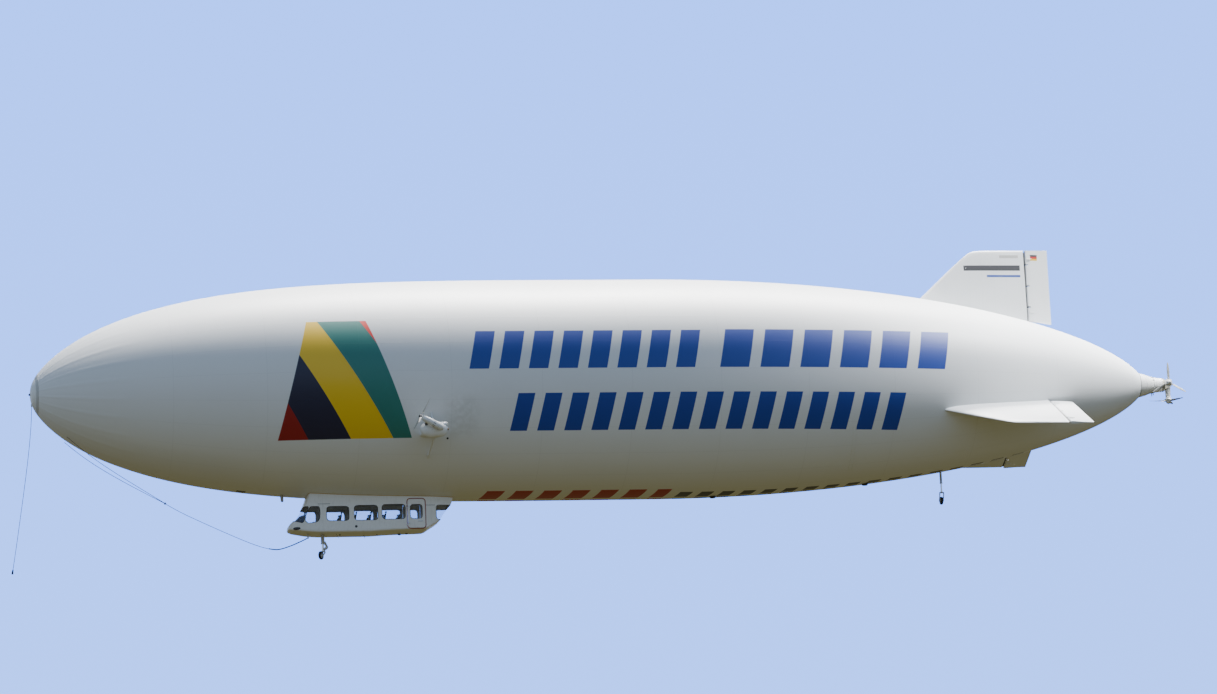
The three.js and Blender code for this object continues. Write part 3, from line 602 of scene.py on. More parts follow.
@dataclass(frozen=True)
class Finish:
    """One surface finish; kinds of finish add their own nodes in paint."""

    name: str
    colour: Colour
    roughness: float = 0.5

    @cache
    def material(self) -> bpy.types.Material:
        """The finish as a material, made once."""
        material = bpy.data.materials.new(self.name)
        material.use_nodes = True
        material.diffuse_color = (*self.colour, 1.0)
        self.paint(Sheet(material.node_tree))
        return material

    def shade(self, share: float) -> Colour:
        """The finish's colour, lighter or darker by a share."""
        return tuple(min(1.0, part * share) for part in self.colour)

    def paint(self, sheet: Sheet) -> None:
        """Adds the finish's nodes to its sheet."""
        raise NotImplementedError


@dataclass(frozen=True)
class Paint(Finish):
    """Sprayed satin paint with faint dirt and a little orange peel."""

    dirt: float = 0.35
    coat: float = 0.3

    def paint(self, sheet: Sheet) -> None:
        """Adds the clouding, the dirt and the peel."""
        cloud = sheet.noise(3.5, 4)
        dirt = sheet.noise(22, 5, (1, 1, 0.3)).above(0.62, 0.16) * self.dirt
        base = sheet.mix(cloud, self.shade(0.95), self.shade(1.03))
        sheet.dress(
            base_color=sheet.mix(dirt, base, self.shade(0.72)), roughness=self.roughness + dirt * 0.25,
            coat_weight=self.coat * (1 - dirt), coat_roughness=0.15,
        )
        sheet.bump(sheet.noise(260, 2), 0.0006, 0.35)


@dataclass(frozen=True)
class Metal(Finish):
    """Bare or anodised metal with fine tool marks and dull patches."""

    def paint(self, sheet: Sheet) -> None:
        """Adds the tool marks and the patches."""
        patch = sheet.noise(14, 4)
        marks = sheet.noise(380, 3, (0.15, 1, 1))
        sheet.dress(
            base_color=sheet.mix(patch, self.shade(0.8), self.shade(1.1)), metallic=1.0,
            roughness=self.roughness + patch * 0.18 - 0.05,
        )
        sheet.bump(marks, 0.0004, 0.4)


@dataclass(frozen=True)
class Rubber(Finish):
    """Matt rubber with a fine grain, paler where it is dusty."""

    def paint(self, sheet: Sheet) -> None:
        """Adds the dust and the grain."""
        dust = sheet.noise(30, 5).above(0.55, 0.2)
        sheet.dress(
            base_color=sheet.mix(dust * 0.5, self.colour, self.shade(2.2)), roughness=self.roughness,
            specular_ior_level=0.3,
        )
        sheet.bump(sheet.noise(500, 3), 0.0006, 0.6)


@dataclass(frozen=True)
class Pane(Finish):
    """Clear acrylic, seen through but for its tint and its gloss."""

    tint: float = 0.07

    def paint(self, sheet: Sheet) -> None:
        """Sets the tint and adds a few wipe marks."""
        marks = sheet.noise(9, 4, (1, 1, 0.4))
        sheet.dress(
            base_color=self.colour, roughness=self.roughness + marks * 0.05, alpha=self.tint + marks * 0.05,
            specular_ior_level=0.6,
        )


@dataclass(frozen=True)
class Cloth(Finish):
    """Woven cloth with warp and weft threads."""

    threads: float = 420.0

    def paint(self, sheet: Sheet) -> None:
        """Adds the threads and the wear."""
        x, y, z = sheet.axes()
        warp = (x * self.threads + z * self.threads * 0.3).sine()
        weft = (y * self.threads + z * self.threads * 0.9).sine()
        weave = (warp * weft) * 0.5 + 0.5
        worn = sheet.noise(12, 4)
        base = sheet.mix(weave, self.shade(0.7), self.shade(1.2))
        sheet.dress(
            base_color=sheet.mix(worn * 0.4, base, self.shade(1.5)), roughness=self.roughness,
            sheen_weight=0.35, sheen_roughness=0.4,
        )
        sheet.bump(weave, 0.0012, 0.5)


@dataclass(frozen=True)
class Rope(Finish):
    """Braided line: strands that cross on the slant."""

    strands: float = 260.0
    slant: float = 900.0

    def paint(self, sheet: Sheet) -> None:
        """Adds the strands and the dirt."""
        x, y, z = sheet.axes()
        along = (x + z) * self.strands
        braid = ((along + y * self.slant).sine() * (along - y * self.slant).sine()) * 0.5 + 0.5
        dirt = sheet.noise(4, 4)
        base = sheet.mix(braid, self.shade(0.6), self.shade(1.15))
        sheet.dress(base_color=sheet.mix(dirt * 0.5, base, self.shade(0.7)), roughness=self.roughness)
        sheet.bump(braid, 0.003, 0.8)


@dataclass(frozen=True)
class FinFabric(Finish):
    """Doped fabric drawn tight over ribs that show faintly."""

    rib_pitch: float = 0.42

    def paint(self, sheet: Sheet) -> None:
        """Adds the ribs, the clouding and a little dirt."""
        rib = (sheet.axes()[0] / self.rib_pitch).part().within(0.47, 0.53, 0.025)
        cloud = sheet.noise(1.4, 4)
        base = sheet.mix(cloud, self.shade(0.96), self.shade(1.02))
        sheet.dress(
            base_color=sheet.mix(rib * 0.12, base, self.shade(0.8)), roughness=self.roughness,
            coat_weight=0.15, coat_roughness=0.3,
        )
        sheet.bump(rib * 0.6 + sheet.noise(240, 3) * 0.2, 0.003, 0.4)


@dataclass(frozen=True)
class HullFabric(Finish):
    """Satin coated fabric with its seams, its painted rows of blocks and its banded panels."""

    blue: Colour = (0.012, 0.05, 0.34)
    red: Colour = (0.42, 0.02, 0.012)
    dark: Colour = (0.06, 0.06, 0.07)
    soot: Colour = (0.3, 0.28, 0.22)
    bands: tuple[Colour, ...] = (
        (0.32, 0.008, 0.012), (0.012, 0.014, 0.05), (0.9, 0.58, 0.015), (0.02, 0.2, 0.17),
        (0.75, 0.02, 0.015),
    )
    slant: float = 0.22
    # Degrees from one lengthwise seam to the next, and metres from one cross seam to the next.
    seam_pitch: tuple[float, float] = (15, 2.87)
    # The panel of bands: its low edge's height, its height, and how wide a band is along the hull.
    panel_size: Point = (-2.0, 3.68, 1.32)
    # Of each row of blocks: first and last station, low and high edge; pitch; share of the pitch filled.
    side_rows: tuple = (
        ((13.45, 20.9, 0.03, 1.28), 0.94, 0.66), ((21.45, 29.0, 0.03, 1.30), 1.31, 0.72),
        ((15.16, 27.80, -1.86, -0.74), 0.863, 0.62),
    )
    front_keel_row: tuple = ((14.1, 20.1, 0.10, 0.93), 0.92, 0.62)
    rear_keel_row: tuple = ((20.45, 33.0, 0.12, 0.69), 0.7, 0.6)

    def paint(self, sheet: Sheet) -> None:
        """Adds the panels, the seams, the livery and the bump."""
        x, y, z = sheet.axes()
        out = abs(y)
        turn = out.turn_of(z) * (180 / pi)
        station = x + ORIGIN_STATION * MILLIMETRE
        cloud = sheet.noise(0.35, 5)
        streaks = sheet.noise(1.3, 4, (0.12, 1, 1))
        base = sheet.mix(cloud * 0.7 + streaks * 0.3, self.shade(0.95), self.shade(1.02))
        seams = self.seams(station, turn)
        base = sheet.mix(seams * 0.16, base, self.shade(0.62))
        # Darker on the lower forward hull, below 140 degrees and ahead of station 6.6 m: painted shade.
        lower = turn.above(140, 3.5) * (1 - station.above(6.6, 1.2))
        base = sheet.mix(lower * 0.10, base, self.shade(0.6))
        behind_engine = station.within(12.75, 13.7, 0.3) * z.within(-1.95, -0.85, 0.25)
        base = sheet.mix(behind_engine * sheet.noise(6, 5).above(0.45, 0.2) * 0.22, base, self.soot)
        base = self.panel(sheet, self.livery(sheet, base, station, out, z), station, z)
        sheet.dress(
            base_color=base, roughness=self.roughness + streaks * 0.12, coat_weight=0.12, coat_roughness=0.35,
        )
        quilt = sheet.noise(2.2, 3) * 0.5
        weave = sheet.noise(420, 2) * 0.03
        sheet.bump(quilt + weave + seams * 0.25, 0.012, 0.35)

    def seams(self, station: Value, turn: Value) -> Value:
        """The mask of the welded seams, lengthwise and across."""
        angle, bay = self.seam_pitch
        along = ((turn + angle / 2) / angle).part().within(0.49, 0.51, 0.006)
        across = (station / bay).part().within(0.4965, 0.5035, 0.0022)
        return along.most(across) * station.above(3.6, 0.5)

    def row(self, station: Value, height: Value, limits: Point, pitch: float, share: float) -> Value:
        """A row of slanted blocks.

        Args:
            station: the station in metres.
            height: the height that the row runs along.
            limits: first and last station, lowest and highest height.
            pitch: distance from block to block.
            share: how much of the pitch a block fills.

        Returns:
            The row's mask.
        """
        first, last, low, high = limits
        shifted = station - height * self.slant - first
        blocks = (shifted / pitch).part().within(0.02, 0.02 + share, 0.008)
        return blocks * shifted.within(0, last - first, 0.01) * height.within(low, high, 0.008)

    def livery(self, sheet: Sheet, base: object, station: Value, out: Value, z: Value) -> object:
        """Adds the painted rows of blocks on the side and along the keel.

        Args:
            sheet: the sheet.
            base: the fabric's colour.
            station: the station in metres.
            out: distance from the ship's middle.
            z: height in metres.

        Returns:
            The painted colour.
        """
        blocks = self.row(station, z, *self.side_rows[0])
        for row in self.side_rows[1:]:
            blocks = blocks.most(self.row(station, z, *row))
        base = sheet.mix(blocks, base, self.blue)
        under = 1 - z.above(-0.3, 0.1)
        base = sheet.mix(under * self.row(station, out, *self.front_keel_row), base, self.red)
        narrowing = out + (station - 20.3) * 0.047
        rear_blocks = self.row(station, narrowing, *self.rear_keel_row)
        return sheet.mix(under * rear_blocks * out.above(0.06, 0.02), base, self.dark)

    def panel(self, sheet: Sheet, base: object, station: Value, z: Value) -> object:
        """Adds the panel of slanted bands, whose sides lean in towards its top.

        Args:
            sheet: the sheet.
            base: the colour round the panel.
            station: the station in metres.
            z: height in metres.

        Returns:
            The painted colour.
        """
        foot, height, pitch = self.panel_size
        inner = (z - foot) / height
        left = station - (7.52 + inner * 0.95)
        right = station - (11.68 - inner * 1.35)
        mask = left.above(0, 0.01) * (1 - right.above(0, 0.01)) * z.within(-2.02, 1.68, 0.01)
        across = (station - 7.0 + (z - foot) * 0.62) / pitch
        colour = self.bands[0]
        for index, band in enumerate(self.bands[1:], 1):
            colour = sheet.mix(across.above(index + 0.1, 0.006), colour, band)
        return sheet.mix(mask, base, colour)


@dataclass(frozen=True)
class FloorFinish(Finish):
    """Plain pale ground, with a faint light of its own that keeps it pale where the lamps don't reach."""

    def paint(self, sheet: Sheet) -> None:
        """Adds a slight clouding."""
        cloud = sheet.noise(0.05, 3)
        sheet.dress(
            base_color=sheet.mix(cloud, self.shade(0.97), self.shade(1.03)), roughness=self.roughness,
            emission_color=self.shade(1.0), emission_strength=0.4,
        )


HULL = HullFabric("hull_fabric", (0.80, 0.82, 0.83), 0.42)
FIN = FinFabric("fin_fabric", (0.80, 0.82, 0.83), 0.45)
WHITE = Paint("white_paint", (0.80, 0.81, 0.80), 0.32)
OLIVE = Paint("olive_grey_paint", (0.36, 0.35, 0.29), 0.45)
GREY = Paint("grey_paint", (0.50, 0.50, 0.48), 0.45)
DARK = Paint("dark_paint", (0.035, 0.037, 0.042), 0.5, dirt=0.5, coat=0.0)
SOFT_BLACK = Paint("soft_black_trim", (0.02, 0.02, 0.022), 0.6, dirt=0.2, coat=0.0)
RED_BROWN = Paint("red_brown_trim", (0.30, 0.06, 0.035), 0.5, dirt=0.3, coat=0.0)
BLADE = Paint("blade_paint", (0.52, 0.52, 0.50), 0.4, dirt=0.6)
# Ochre-olive colour of the strip along the gondola's joint with the hull: painted shade of that crease.
SEAM_SHADE = Paint("seam_painted_shade", (0.55, 0.40, 0.16), 0.5, dirt=0.3, coat=0.0)
SHIELD = Paint("glare_shield_paint", (0.05, 0.08, 0.2), 0.6, dirt=0.2, coat=0.0)
BLUE_MARK = Paint("blue_mark", (0.05, 0.10, 0.35), 0.45, dirt=0.2, coat=0.0)
DARK_MARK = Paint("dark_mark", (0.045, 0.045, 0.05), 0.5, dirt=0.2, coat=0.0)
BAND_RED = Paint("band_red", (0.5, 0.02, 0.02), 0.45, dirt=0.2, coat=0.0)
BAND_GOLD = Paint("band_gold", (0.75, 0.48, 0.03), 0.45, dirt=0.2, coat=0.0)
METAL = Metal("bare_metal", (0.62, 0.63, 0.64), 0.38)
PISTON = Metal("polished_piston", (0.8, 0.81, 0.82), 0.16)
BURNT = Metal("burnt_exhaust", (0.30, 0.20, 0.13), 0.5)
TYRE = Rubber("tyre_rubber", (0.018, 0.018, 0.019), 0.85)
GASKET = Rubber("window_gasket", (0.012, 0.012, 0.013), 0.7)
GLASS = Pane("clear_pane", (0.30, 0.32, 0.33), 0.04)
SEAT = Cloth("seat_cloth", (0.03, 0.045, 0.09), 0.85)
LINE = Rope("braided_line", (0.22, 0.20, 0.16), 0.85)
GROUND = FloorFinish("pale_floor", (0.84, 0.80, 0.72), 0.8)


def build(
    name: str, shape: Shape, finish: Finish, body: str = "airframe", node: str = "",
    bevel: float = 0.0,
) -> bpy.types.Object:
    """Makes a dressed piece that rides on a body.

    Args:
        name: the piece's name.
        shape: its skin, in the drawing's millimetres.
        finish: its finish.
        body: the body that it rides on.
        node: the node of the frame that it stands for, if any.
        bevel: width of the softened edges, in millimetres.

    Returns:
        The piece.
    """
    mesh = bpy.data.meshes.new(name)
    mesh.from_pydata([DRAWING @ point for point in shape.points], [], shape.faces)
    edit = bmesh.new()
    edit.from_mesh(mesh)
    bmesh.ops.remove_doubles(edit, verts=edit.verts, dist=WELD)
    bmesh.ops.dissolve_degenerate(edit, dist=WELD / 5, edges=edit.edges)
    bmesh.ops.recalc_face_normals(edit, faces=edit.faces)
    if bevel:
        sharp = [e for e in edit.edges if len(e.link_faces) == 2 and e.calc_face_angle(0) > BEVELLED_ANGLE]
        bmesh.ops.bevel(
            edit, geom=sharp, offset=bevel * MILLIMETRE, segments=2, affect="EDGES", profile=0.6,
            clamp_overlap=True,
        )
        bmesh.ops.recalc_face_normals(edit, faces=edit.faces)
    edit.to_mesh(mesh)
    edit.free()
    mesh.polygons.foreach_set("use_smooth", [True] * len(mesh.polygons))
    mesh.set_sharp_from_angle(angle=SHARP_ANGLE)
    mesh.materials.append(finish.material())
    piece = bpy.data.objects.new(name, mesh)
    bpy.context.collection.objects.link(piece)
    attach(piece, body)
    if node:
        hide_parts(node)
    LOG.info("%s: %d faces on %s", name, len(mesh.polygons), body)
    return piece


def redress(finish: Finish, *nodes: str) -> None:
    """Gives nodes of the frame a better finish."""
    for node in nodes:
        materials = bpy.data.objects[node].data.materials
        materials.clear()
        materials.append(finish.material())


# Camera


@dataclass
class CameraRig:
    """The camera at the photograph's viewing angle, low on the port side."""

    aim: Point = (1.067, -0.239, 1.358)
    distance: float = 150.0
    yaw: float = 11.004
    pitch: float = 11.212
    roll: float = -2.549
    lens: float = 137.95
    clip: tuple[float, float] = (0.1, 3000.0)

    def build(self) -> None:
        """Makes the camera and gives it to the scene."""
        yaw, pitch, roll = (radians(angle) for angle in (self.yaw, self.pitch, self.roll))
        ahead = Vector((sin(yaw) * cos(pitch), cos(yaw) * cos(pitch), sin(pitch)))
        right = Vector((cos(yaw), -sin(yaw), 0))
        up = right.cross(ahead)
        across = right * cos(roll) + up * sin(roll)
        upward = up * cos(roll) - right * sin(roll)
        matrix = Matrix((across, upward, -ahead)).transposed().to_4x4()
        matrix.translation = Vector(self.aim) - ahead * self.distance
        data = bpy.data.cameras.new("camera")
        data.lens = self.lens
        data.clip_start, data.clip_end = self.clip
        camera = bpy.data.objects.new("camera", data)
        camera.matrix_world = matrix
        bpy.context.collection.objects.link(camera)
        bpy.context.scene.camera = camera


# Lines


@dataclass
class Lines:
    """The mooring line at the nose and the bow line with its two legs."""

    radius: float = 9.0
    step: float = 60.0
    sides: int = 10
    knot: Point = (4205, 0, -3520)
    knot_lean: float = 33.0
    sleeve_start: float = 7400.0
    sleeve_radius: float = 17.0
    nose_route: tuple[Point, ...] = (
        (88, 0, -396.4), (88, 0, -460), (84, 0, -600), (72, 0, -850), (48, 0, -1150), (8, 0, -1550),
        (-44, 0, -1980), (-104, 0, -2430), (-170, 0, -2890), (-240, 0, -3360), (-312, 0, -3830),
        (-384, 0, -4300), (-456, 0, -4760), (-524, 0, -5180), (-568, 0, -5450), (-584, 0, -5548),
    )
    bow_route: tuple[Point, ...] = (
        (4238, 0, -3542), (4300, 0, -3582), (4520, 0, -3712), (4840, 0, -3885), (5165, 0, -4045),
        (5520, 0, -4215), (5880, 0, -4385), (6240, 0, -4550), (6600, 0, -4710), (6960, 0, -4860),
        (7300, 0, -4975), (7560, 0, -5025), (7720, 0, -5035), (7880, 0, -5005), (8080, 0, -4942),
        (8240, 0, -4882), (8400, 0, -4813), (8560, 0, -4741), (8654, 0, -4694),
    )
    # The starboard leg; the port one mirrors it.
    leg_route: tuple[Point, ...] = (
        (1130, 505, -1445), (1190, 502, -1492), (1360, 486, -1640), (1580, 462, -1825), (1820, 432, -2015),
        (2080, 397, -2205), (2350, 358, -2390), (2630, 315, -2572), (2910, 268, -2748), (3190, 219, -2918),
        (3460, 168, -3080), (3720, 116, -3234), (3950, 68, -3370), (4110, 32, -3463), (4172, 15, -3499),
    )

    def rope(
        self, name: str, route: Sequence[Point], node: str,
    ) -> None:
        """Args:
            name: the rope's name.
            route: the points that it follows, from where it leaves the ship.
            node: the node that it stands for.
        """
        path = through(route, self.step)
        piece = build(name, tube(path, self.radius, self.sides), LINE, node=node)
        metres = [DRAWING @ point for point in path]
        length = sum((b - a).length for a, b in zip(metres, metres[1:]))
        2 * self.radius * MILLIMETRE
        LOG.info("%s is %.3f m long", name, length)

    def whipping(self) -> Shape:
        """The knot of the three lines: a lump with turns of line wound round it."""
        rows = [(-36, 0), (-33, 14), (-22, 27), (-8, 34), (8, 34), (22, 27), (33, 14), (36, 0)]
        place = Matrix.Translation(self.knot)
        shapes = [lathe(rows, 24).moved(place @ spun(self.knot_lean, "Y"))]
        for index, offset in enumerate((-15, 0, 15)):
            wound = [
                (offset + 5 * sin(2 * angle), 31 * cos(angle), 31 * sin(angle))
                for angle in [*turns(24), 2 * pi]
            ]
            shapes.append(tube(wound, 6, 8).moved(place @ spun(self.knot_lean + 12 * index, "Y")))
        return together(shapes)

    def weight(self) -> Shape:
        """The rubber weight at the nose line's end, with a waist and an eye."""
        x, _, z = self.nose_route[-1]
        rows = [
            (0, 0), (0, 14), (6, 22), (18, 24), (24, 20), (34, 19), (44, 24), (120, 29.5), (140, 29.5),
            (146, 24), (148, 12), (148, 0),
        ]
        return turned(rows, (x - 0.1, 0, z - 0.6), (x - 24, 0, z - 149), 28)

    def build(self) -> None:
        """Builds all the lines."""
        weight = build("nose_line_bob", self.weight(), TYRE, node="nose_line_weight")
        self.rope("nose_rope", self.nose_route, "nose_line")
        knot = build("bow_whipping", self.whipping(), LINE, node="bow_line_knot")
        port = [(x, -y, z) for x, y, z in self.leg_route]
        self.rope("bow_leg_rope_starboard", self.leg_route, "bow_line_starboard_leg")
        self.rope("bow_leg_rope_port", port, "bow_line_port_leg")
        sleeved = [point for point in through(self.bow_route, self.step) if point.x > self.sleeve_start]
        sleeve = build("bow_line_sleeve", tube(sleeved, self.sleeve_radius), TYRE)
        self.rope("bow_rope", self.bow_route, "bow_line")


# Hull


@dataclass
class Hull:
    """The envelope: a fine skin of coated fabric with nose battens, its cap, ring and valves."""

    radius: float = 3540.0
    broadest: float = 19830.0
    tail_point: float = 36480.0
    fore_curve: tuple[float, float] = (4.43, 0.611)
    aft_curve: tuple[float, float] = (2.04, 0.6)
    bow: float = 190.0
    stern: float = 36250.0
    fabric: float = 10.0
    sides: int = 192
    bays: int = 176
    battens: int = 24
    batten_height: float = 10.0
    batten_end: float = 3500.0
    band: tuple[float, float] = (202, 279)
    # Name of the housing, its station and its node.
    valves: tuple[tuple[str, float, str], ...] = (
        ("valve_front_housing", 21800, "front_air_valve"), ("valve_rear_housing", 26850, "rear_air_valve"),
    )
    side_cap: Point = (12811, -2861, -2047)
    hatch: tuple[int, int] = (6460, 6740)
    draw_lines: tuple[float, float] = (25890, 26000)

    def radius_at(self, station: float) -> float:
        """The hull's radius at a station."""
        fore = station < self.broadest
        power, root = self.fore_curve if fore else self.aft_curve
        run = self.broadest if fore else self.tail_point - self.broadest
        part = min(abs(station - self.broadest) / run, 1.0)
        return self.radius * (1 - part ** power) ** root

    def batten(self, station: float, turn: float) -> float:
        """How far a nose batten lifts the fabric at a place."""
        fade = max(0.0, 1 - (station - self.bow) / (self.batten_end - self.bow))
        wave = max(0.0, cos(turn * self.battens)) ** 12
        return self.batten_height * min(1.0, 2.5 * fade) * wave

    def skin(self) -> Shape:
        """The fine skin with its inner wall."""
        parts = [(1 - cos(pi * step / self.bays)) / 2 for step in range(self.bays + 1)]
        stations = [self.bow + part * (self.stern - self.bow) for part in parts]
        rings = []
        for station in stations:
            base = self.radius_at(station)
            lifted = [(base + self.batten(station, turn), turn) for turn in turns(self.sides)]
            rings.append([
                (station, radius * sin(turn), radius * cos(turn)) for radius, turn in lifted
            ])
        inner = stations[::-16]
        rings += [ring(station, self.radius_at(station) - self.fabric, self.sides) for station in inner]
        return loft(rings, capped=False, endless=True)

    def nose(self) -> None:
        """Builds the cap, the ring and the mooring spindle."""
        cap = lathe([
            (45, 0), (45, 60), (48, 110), (62, 200), (78, 270), (98, 330), (122, 388), (148, 440),
            (170, 476), (186, 500), (189.5, 503), (189.5, 0),
        ], 96)
        lug = slab(rounded([(70, -396), (110, -396), (112, -300), (68, -300)], 14), Plane.SIDE, -12, 12)
        build("nose_dome", cap + lug, WHITE, node="nose_cap")
        front, rear = self.band
        rows = [
            (station, self.radius_at(station) + lift) for station, lift in (
                (front, 5), (front + 4, 14), (rear - 5, 14), (rear, 5), (rear, -4), (front, -4),
            )
        ]
        build("bow_band", lathe(rows, 128, endless=True), GREY, node="bow_ring")
        spindle = lathe([
            (2, 0), (2, 22), (5, 26), (14, 34), (24, 34), (26, 30), (32, 30), (34, 40), (44.5, 40), (44.5, 0),
        ], 40)
        build("mooring_spindle", spindle, DARK, node="mooring_probe")
        bolt = turned([(0, 0), (0, 7), (5, 6), (6, 0)], (46, 0, 0), (45, 0, 0), 6)
        out = Matrix.Translation((0, 0, 52))
        bolts = together(bolt.moved(spun(turn) @ out) for turn in range(0, 360, 30))
        build("spindle_bolts", bolts, METAL)

    def valve(self, name: str, station: float, node: str) -> None:
        """Builds one dark valve housing under the belly.

        Args:
            name: the housing's name.
            station: where its middle is.
            node: the node that it stands for.
        """
        bottom = -self.radius_at(station)
        rows = [
            (-50, 0), (-50, 60), (0, 104), (14, 104), (22, 98), (50, 92), (58, 84), (60, 60), (52, 56),
            (52, 0),
        ]
        slats = together(
            block((station - 60, offset - 4, bottom - 62), (station + 60, offset + 4, bottom - 46))
            for offset in (-36, -12, 12, 36)
        )
        body = turned(rows, (station, 0, bottom), (station, 0, bottom - 1), 40)
        build(name, body + slats, DARK, node=node)

    def details(self) -> None:
        """Builds the small things on the hull: drain stub, side caps, belly hatch and draw lines."""
        stub = rod((7885, 0, -self.radius_at(7900) + 40), (7905, 0, -3505), 56, 44)
        build("belly_stub", stub + rod((7905, 0, -3500), (7908, 0, -3522), 28, 22), OLIVE)
        place = Vector(self.side_cap)
        outward = Vector((0, place.y, place.z)).normalized()
        rows = [(-30, 0), (-30, 34), (4, 34), (7, 30), (7, 22), (3, 20), (3, 0)]
        cap = turned(rows, place, place + outward, 28)
        build("side_port_cap", cap + cap.mirrored(), DARK)
        first, last = self.hatch
        section = ((-110, 8), (-110, -1), (0, -3), (110, -1), (110, 8))
        hatch = loft([
            [(station, y, -self.radius_at(station) + lift) for y, lift in section]
            for station in range(first, last + 1, 40)
        ])
        build("belly_hatch", hatch, DARK)
        lines = together(self.draw_line(station) for station in self.draw_lines)
        build("side_draw_lines", lines, WHITE)

    def draw_line(self, station: float) -> Shape:
        """A light draw line laid down the port side from a station."""
        path = []
        for part in [step / 12 for step in range(13)]:
            along = station + 105 * part
            radius = self.radius_at(along) + 3
            turn = radians(123 + 32 * part)
            path.append((along, -radius * sin(turn), radius * cos(turn)))
        return tube(path, 5, 8)

    def build(self) -> None:
        """Builds the hull."""
        build("hull_skin", self.skin(), HULL, node="envelope")
        self.nose()
        for valve in self.valves:
            self.valve(*valve)
        self.details()


# Tail surfaces


@dataclass
class TailSurface:
    """One fin with its hinged rudder, drawn upright in the top fin's plane."""

    name: str
    turn: float
    hinge: float = 32720.0
    fin_end: float = 32620.0
    rudder_end: float = 33445.0
    tip: float = 4540.0
    rudder_root: float = 2175.0
    nose: float = 62.0
    foot: float = 1850.0
    shoulder: float = 4440.0
    tip_heights: tuple[float, ...] = (4480, 4502, 4520, 4532, 4540)
    bracket_heights: tuple[float, ...] = (2640, 3350, 4065)
    # Height above the hull's axis, front station, half thickness.
    sections: Table = (
        (1850, 27830, 150), (2860, 28950, 128), (4290, 30540, 66), (4440, 30730, 56), (4515, 30930, 38),
        (4540, 31160, 16),
    )
    # Share of the chord, share of the half thickness.
    profile: Rows = (
        (0, 0), (0.004, 0.16), (0.012, 0.28), (0.03, 0.43), (0.06, 0.6), (0.12, 0.79), (0.2, 0.92),
        (0.35, 1.0), (0.5, 0.96), (0.68, 0.86), (0.85, 0.7), (1, 0.55),
    )
    # Distance ahead of the hinge or behind it, and half thickness, both as shares of the nose.
    rudder_front: Rows = (
        (-1, 0), (-0.96, 0.28), (-0.85, 0.52), (-0.7, 0.72), (-0.4, 0.92),
    )
    rudder_rear: Rows = ((0, 1), (1.5, 0.93), (3.2, 0.8), (5, 0.62), (8, 0.34))

    @property
    def spin(self) -> Matrix:
        """The turn about the hull's axis that lays the drawing on its fin."""
        return spun(self.turn)

    def nose_at(self, height: float) -> float:
        """The radius of the rudder's rounded front edge at a height."""
        return self.nose * (1.25 - 0.5 * (height - self.rudder_root) / (self.tip - self.rudder_root))

    def fin(self) -> Shape:
        """The fin's blade."""
        rings = []
        spread = [self.foot + step * (self.shoulder - self.foot) / 14 for step in range(15)]
        for height in [*spread, *self.tip_heights]:
            front, half = smooth_rows(self.sections, height)
            chord = self.fin_end - front
            upper = [(front + part * chord, thick * half, height) for part, thick in self.profile]
            rings.append([*upper, *[(x, -y, z) for x, y, z in upper[:0:-1]]])
        return loft(rings).moved(self.spin)

    def brackets(self) -> Shape:
        """The hinge brackets between the fin and its rudder."""
        outline = rounded(rectangle(self.fin_end - 30, self.hinge + 17, -13, 13), 12)
        brackets = [slab(outline, Plane.PLAN, height - 15, height + 15) for height in self.bracket_heights]
        return together(brackets).moved(self.spin)

    def hinge_seal(self) -> Shape:
        """The dark seal on the fin's rear edge."""
        rings = []
        for height in (1950, 2860, 3600, 4290, 4480):
            half = smooth_rows(self.sections, height)[1] * self.profile[-1][1] - 1
            corners = rectangle(self.fin_end - 2, self.hinge - self.nose_at(height) - 12, -half, half)
            rings.append([(x, y, height) for x, y in corners])
        return loft(rings).moved(self.spin)

    def rudder_half(self, part: float, sign: int) -> list[Point]:
        """One side of the rudder's section.

        Args:
            part: how far up the rudder it is, from nothing to one.
            sign: the side.

        Returns:
            Its points, from the nose to the rear edge.
        """
        chord = self.rudder_end - self.hinge
        nose = self.nose * (1.25 - 0.5 * part)
        low = self.rudder_root + part * (self.tip - self.rudder_root)
        high = self.rudder_root - 130 + part * (self.tip + 8 - self.rudder_root + 130)
        points = []
        for along, thick in (*self.rudder_front, *self.rudder_rear):
            reach = along * nose if along < 0 else min(along * nose, chord)
            height = low + max(reach, 0) / chord * (high - low)
            points.append((self.hinge + reach, sign * thick * nose, height))
        return [*points, (self.rudder_end, sign * 0.07 * nose, high)]

    def rudder(self) -> Shape:
        """The rudder with the slots for its brackets."""
        parts = [step / 12 for step in range(13)]
        blade = loft([[*self.rudder_half(part, 1), *self.rudder_half(part, -1)[:0:-1]] for part in parts])
        slots = together(
            block((self.hinge - 120, -120, height - 26), (self.hinge + 45, 120, height + 26))
            for height in self.bracket_heights
        )
        return trimmed(blade, (Trim.CUT, slots)).moved(self.spin)

    def fairings(self) -> Shape:
        """The hinge fairings: slender pods that stand off both sides of the rudder."""
        pod = lathe([(-70, 0), (-66, 7), (-40, 15), (20, 17), (90, 13), (130, 6), (134, 0)], 16)
        heights = (self.bracket_heights[0] - 190, self.bracket_heights[-1] + 190)
        places = [(self.hinge + 40, side * 78, height) for side in (1, -1) for height in heights]
        return together(pod.moved(Matrix.Translation(place)) for place in places).moved(self.spin)

    def build(self) -> None:
        """Builds the fin and its rudder."""
        name, body = self.name, f"{self.name}_rudder"
        build(f"{name}_fin_blade", self.fin(), FIN, node=f"{name}_fin")
        build(f"{name}_fin_brackets", self.brackets(), DARK)
        build(f"{name}_hinge_seal", self.hinge_seal(), SOFT_BLACK)
        build(f"{name}_rudder_blade", self.rudder(), FIN, body, body)
        build(f"{name}_rudder_fairings", self.fairings(), WHITE, body)


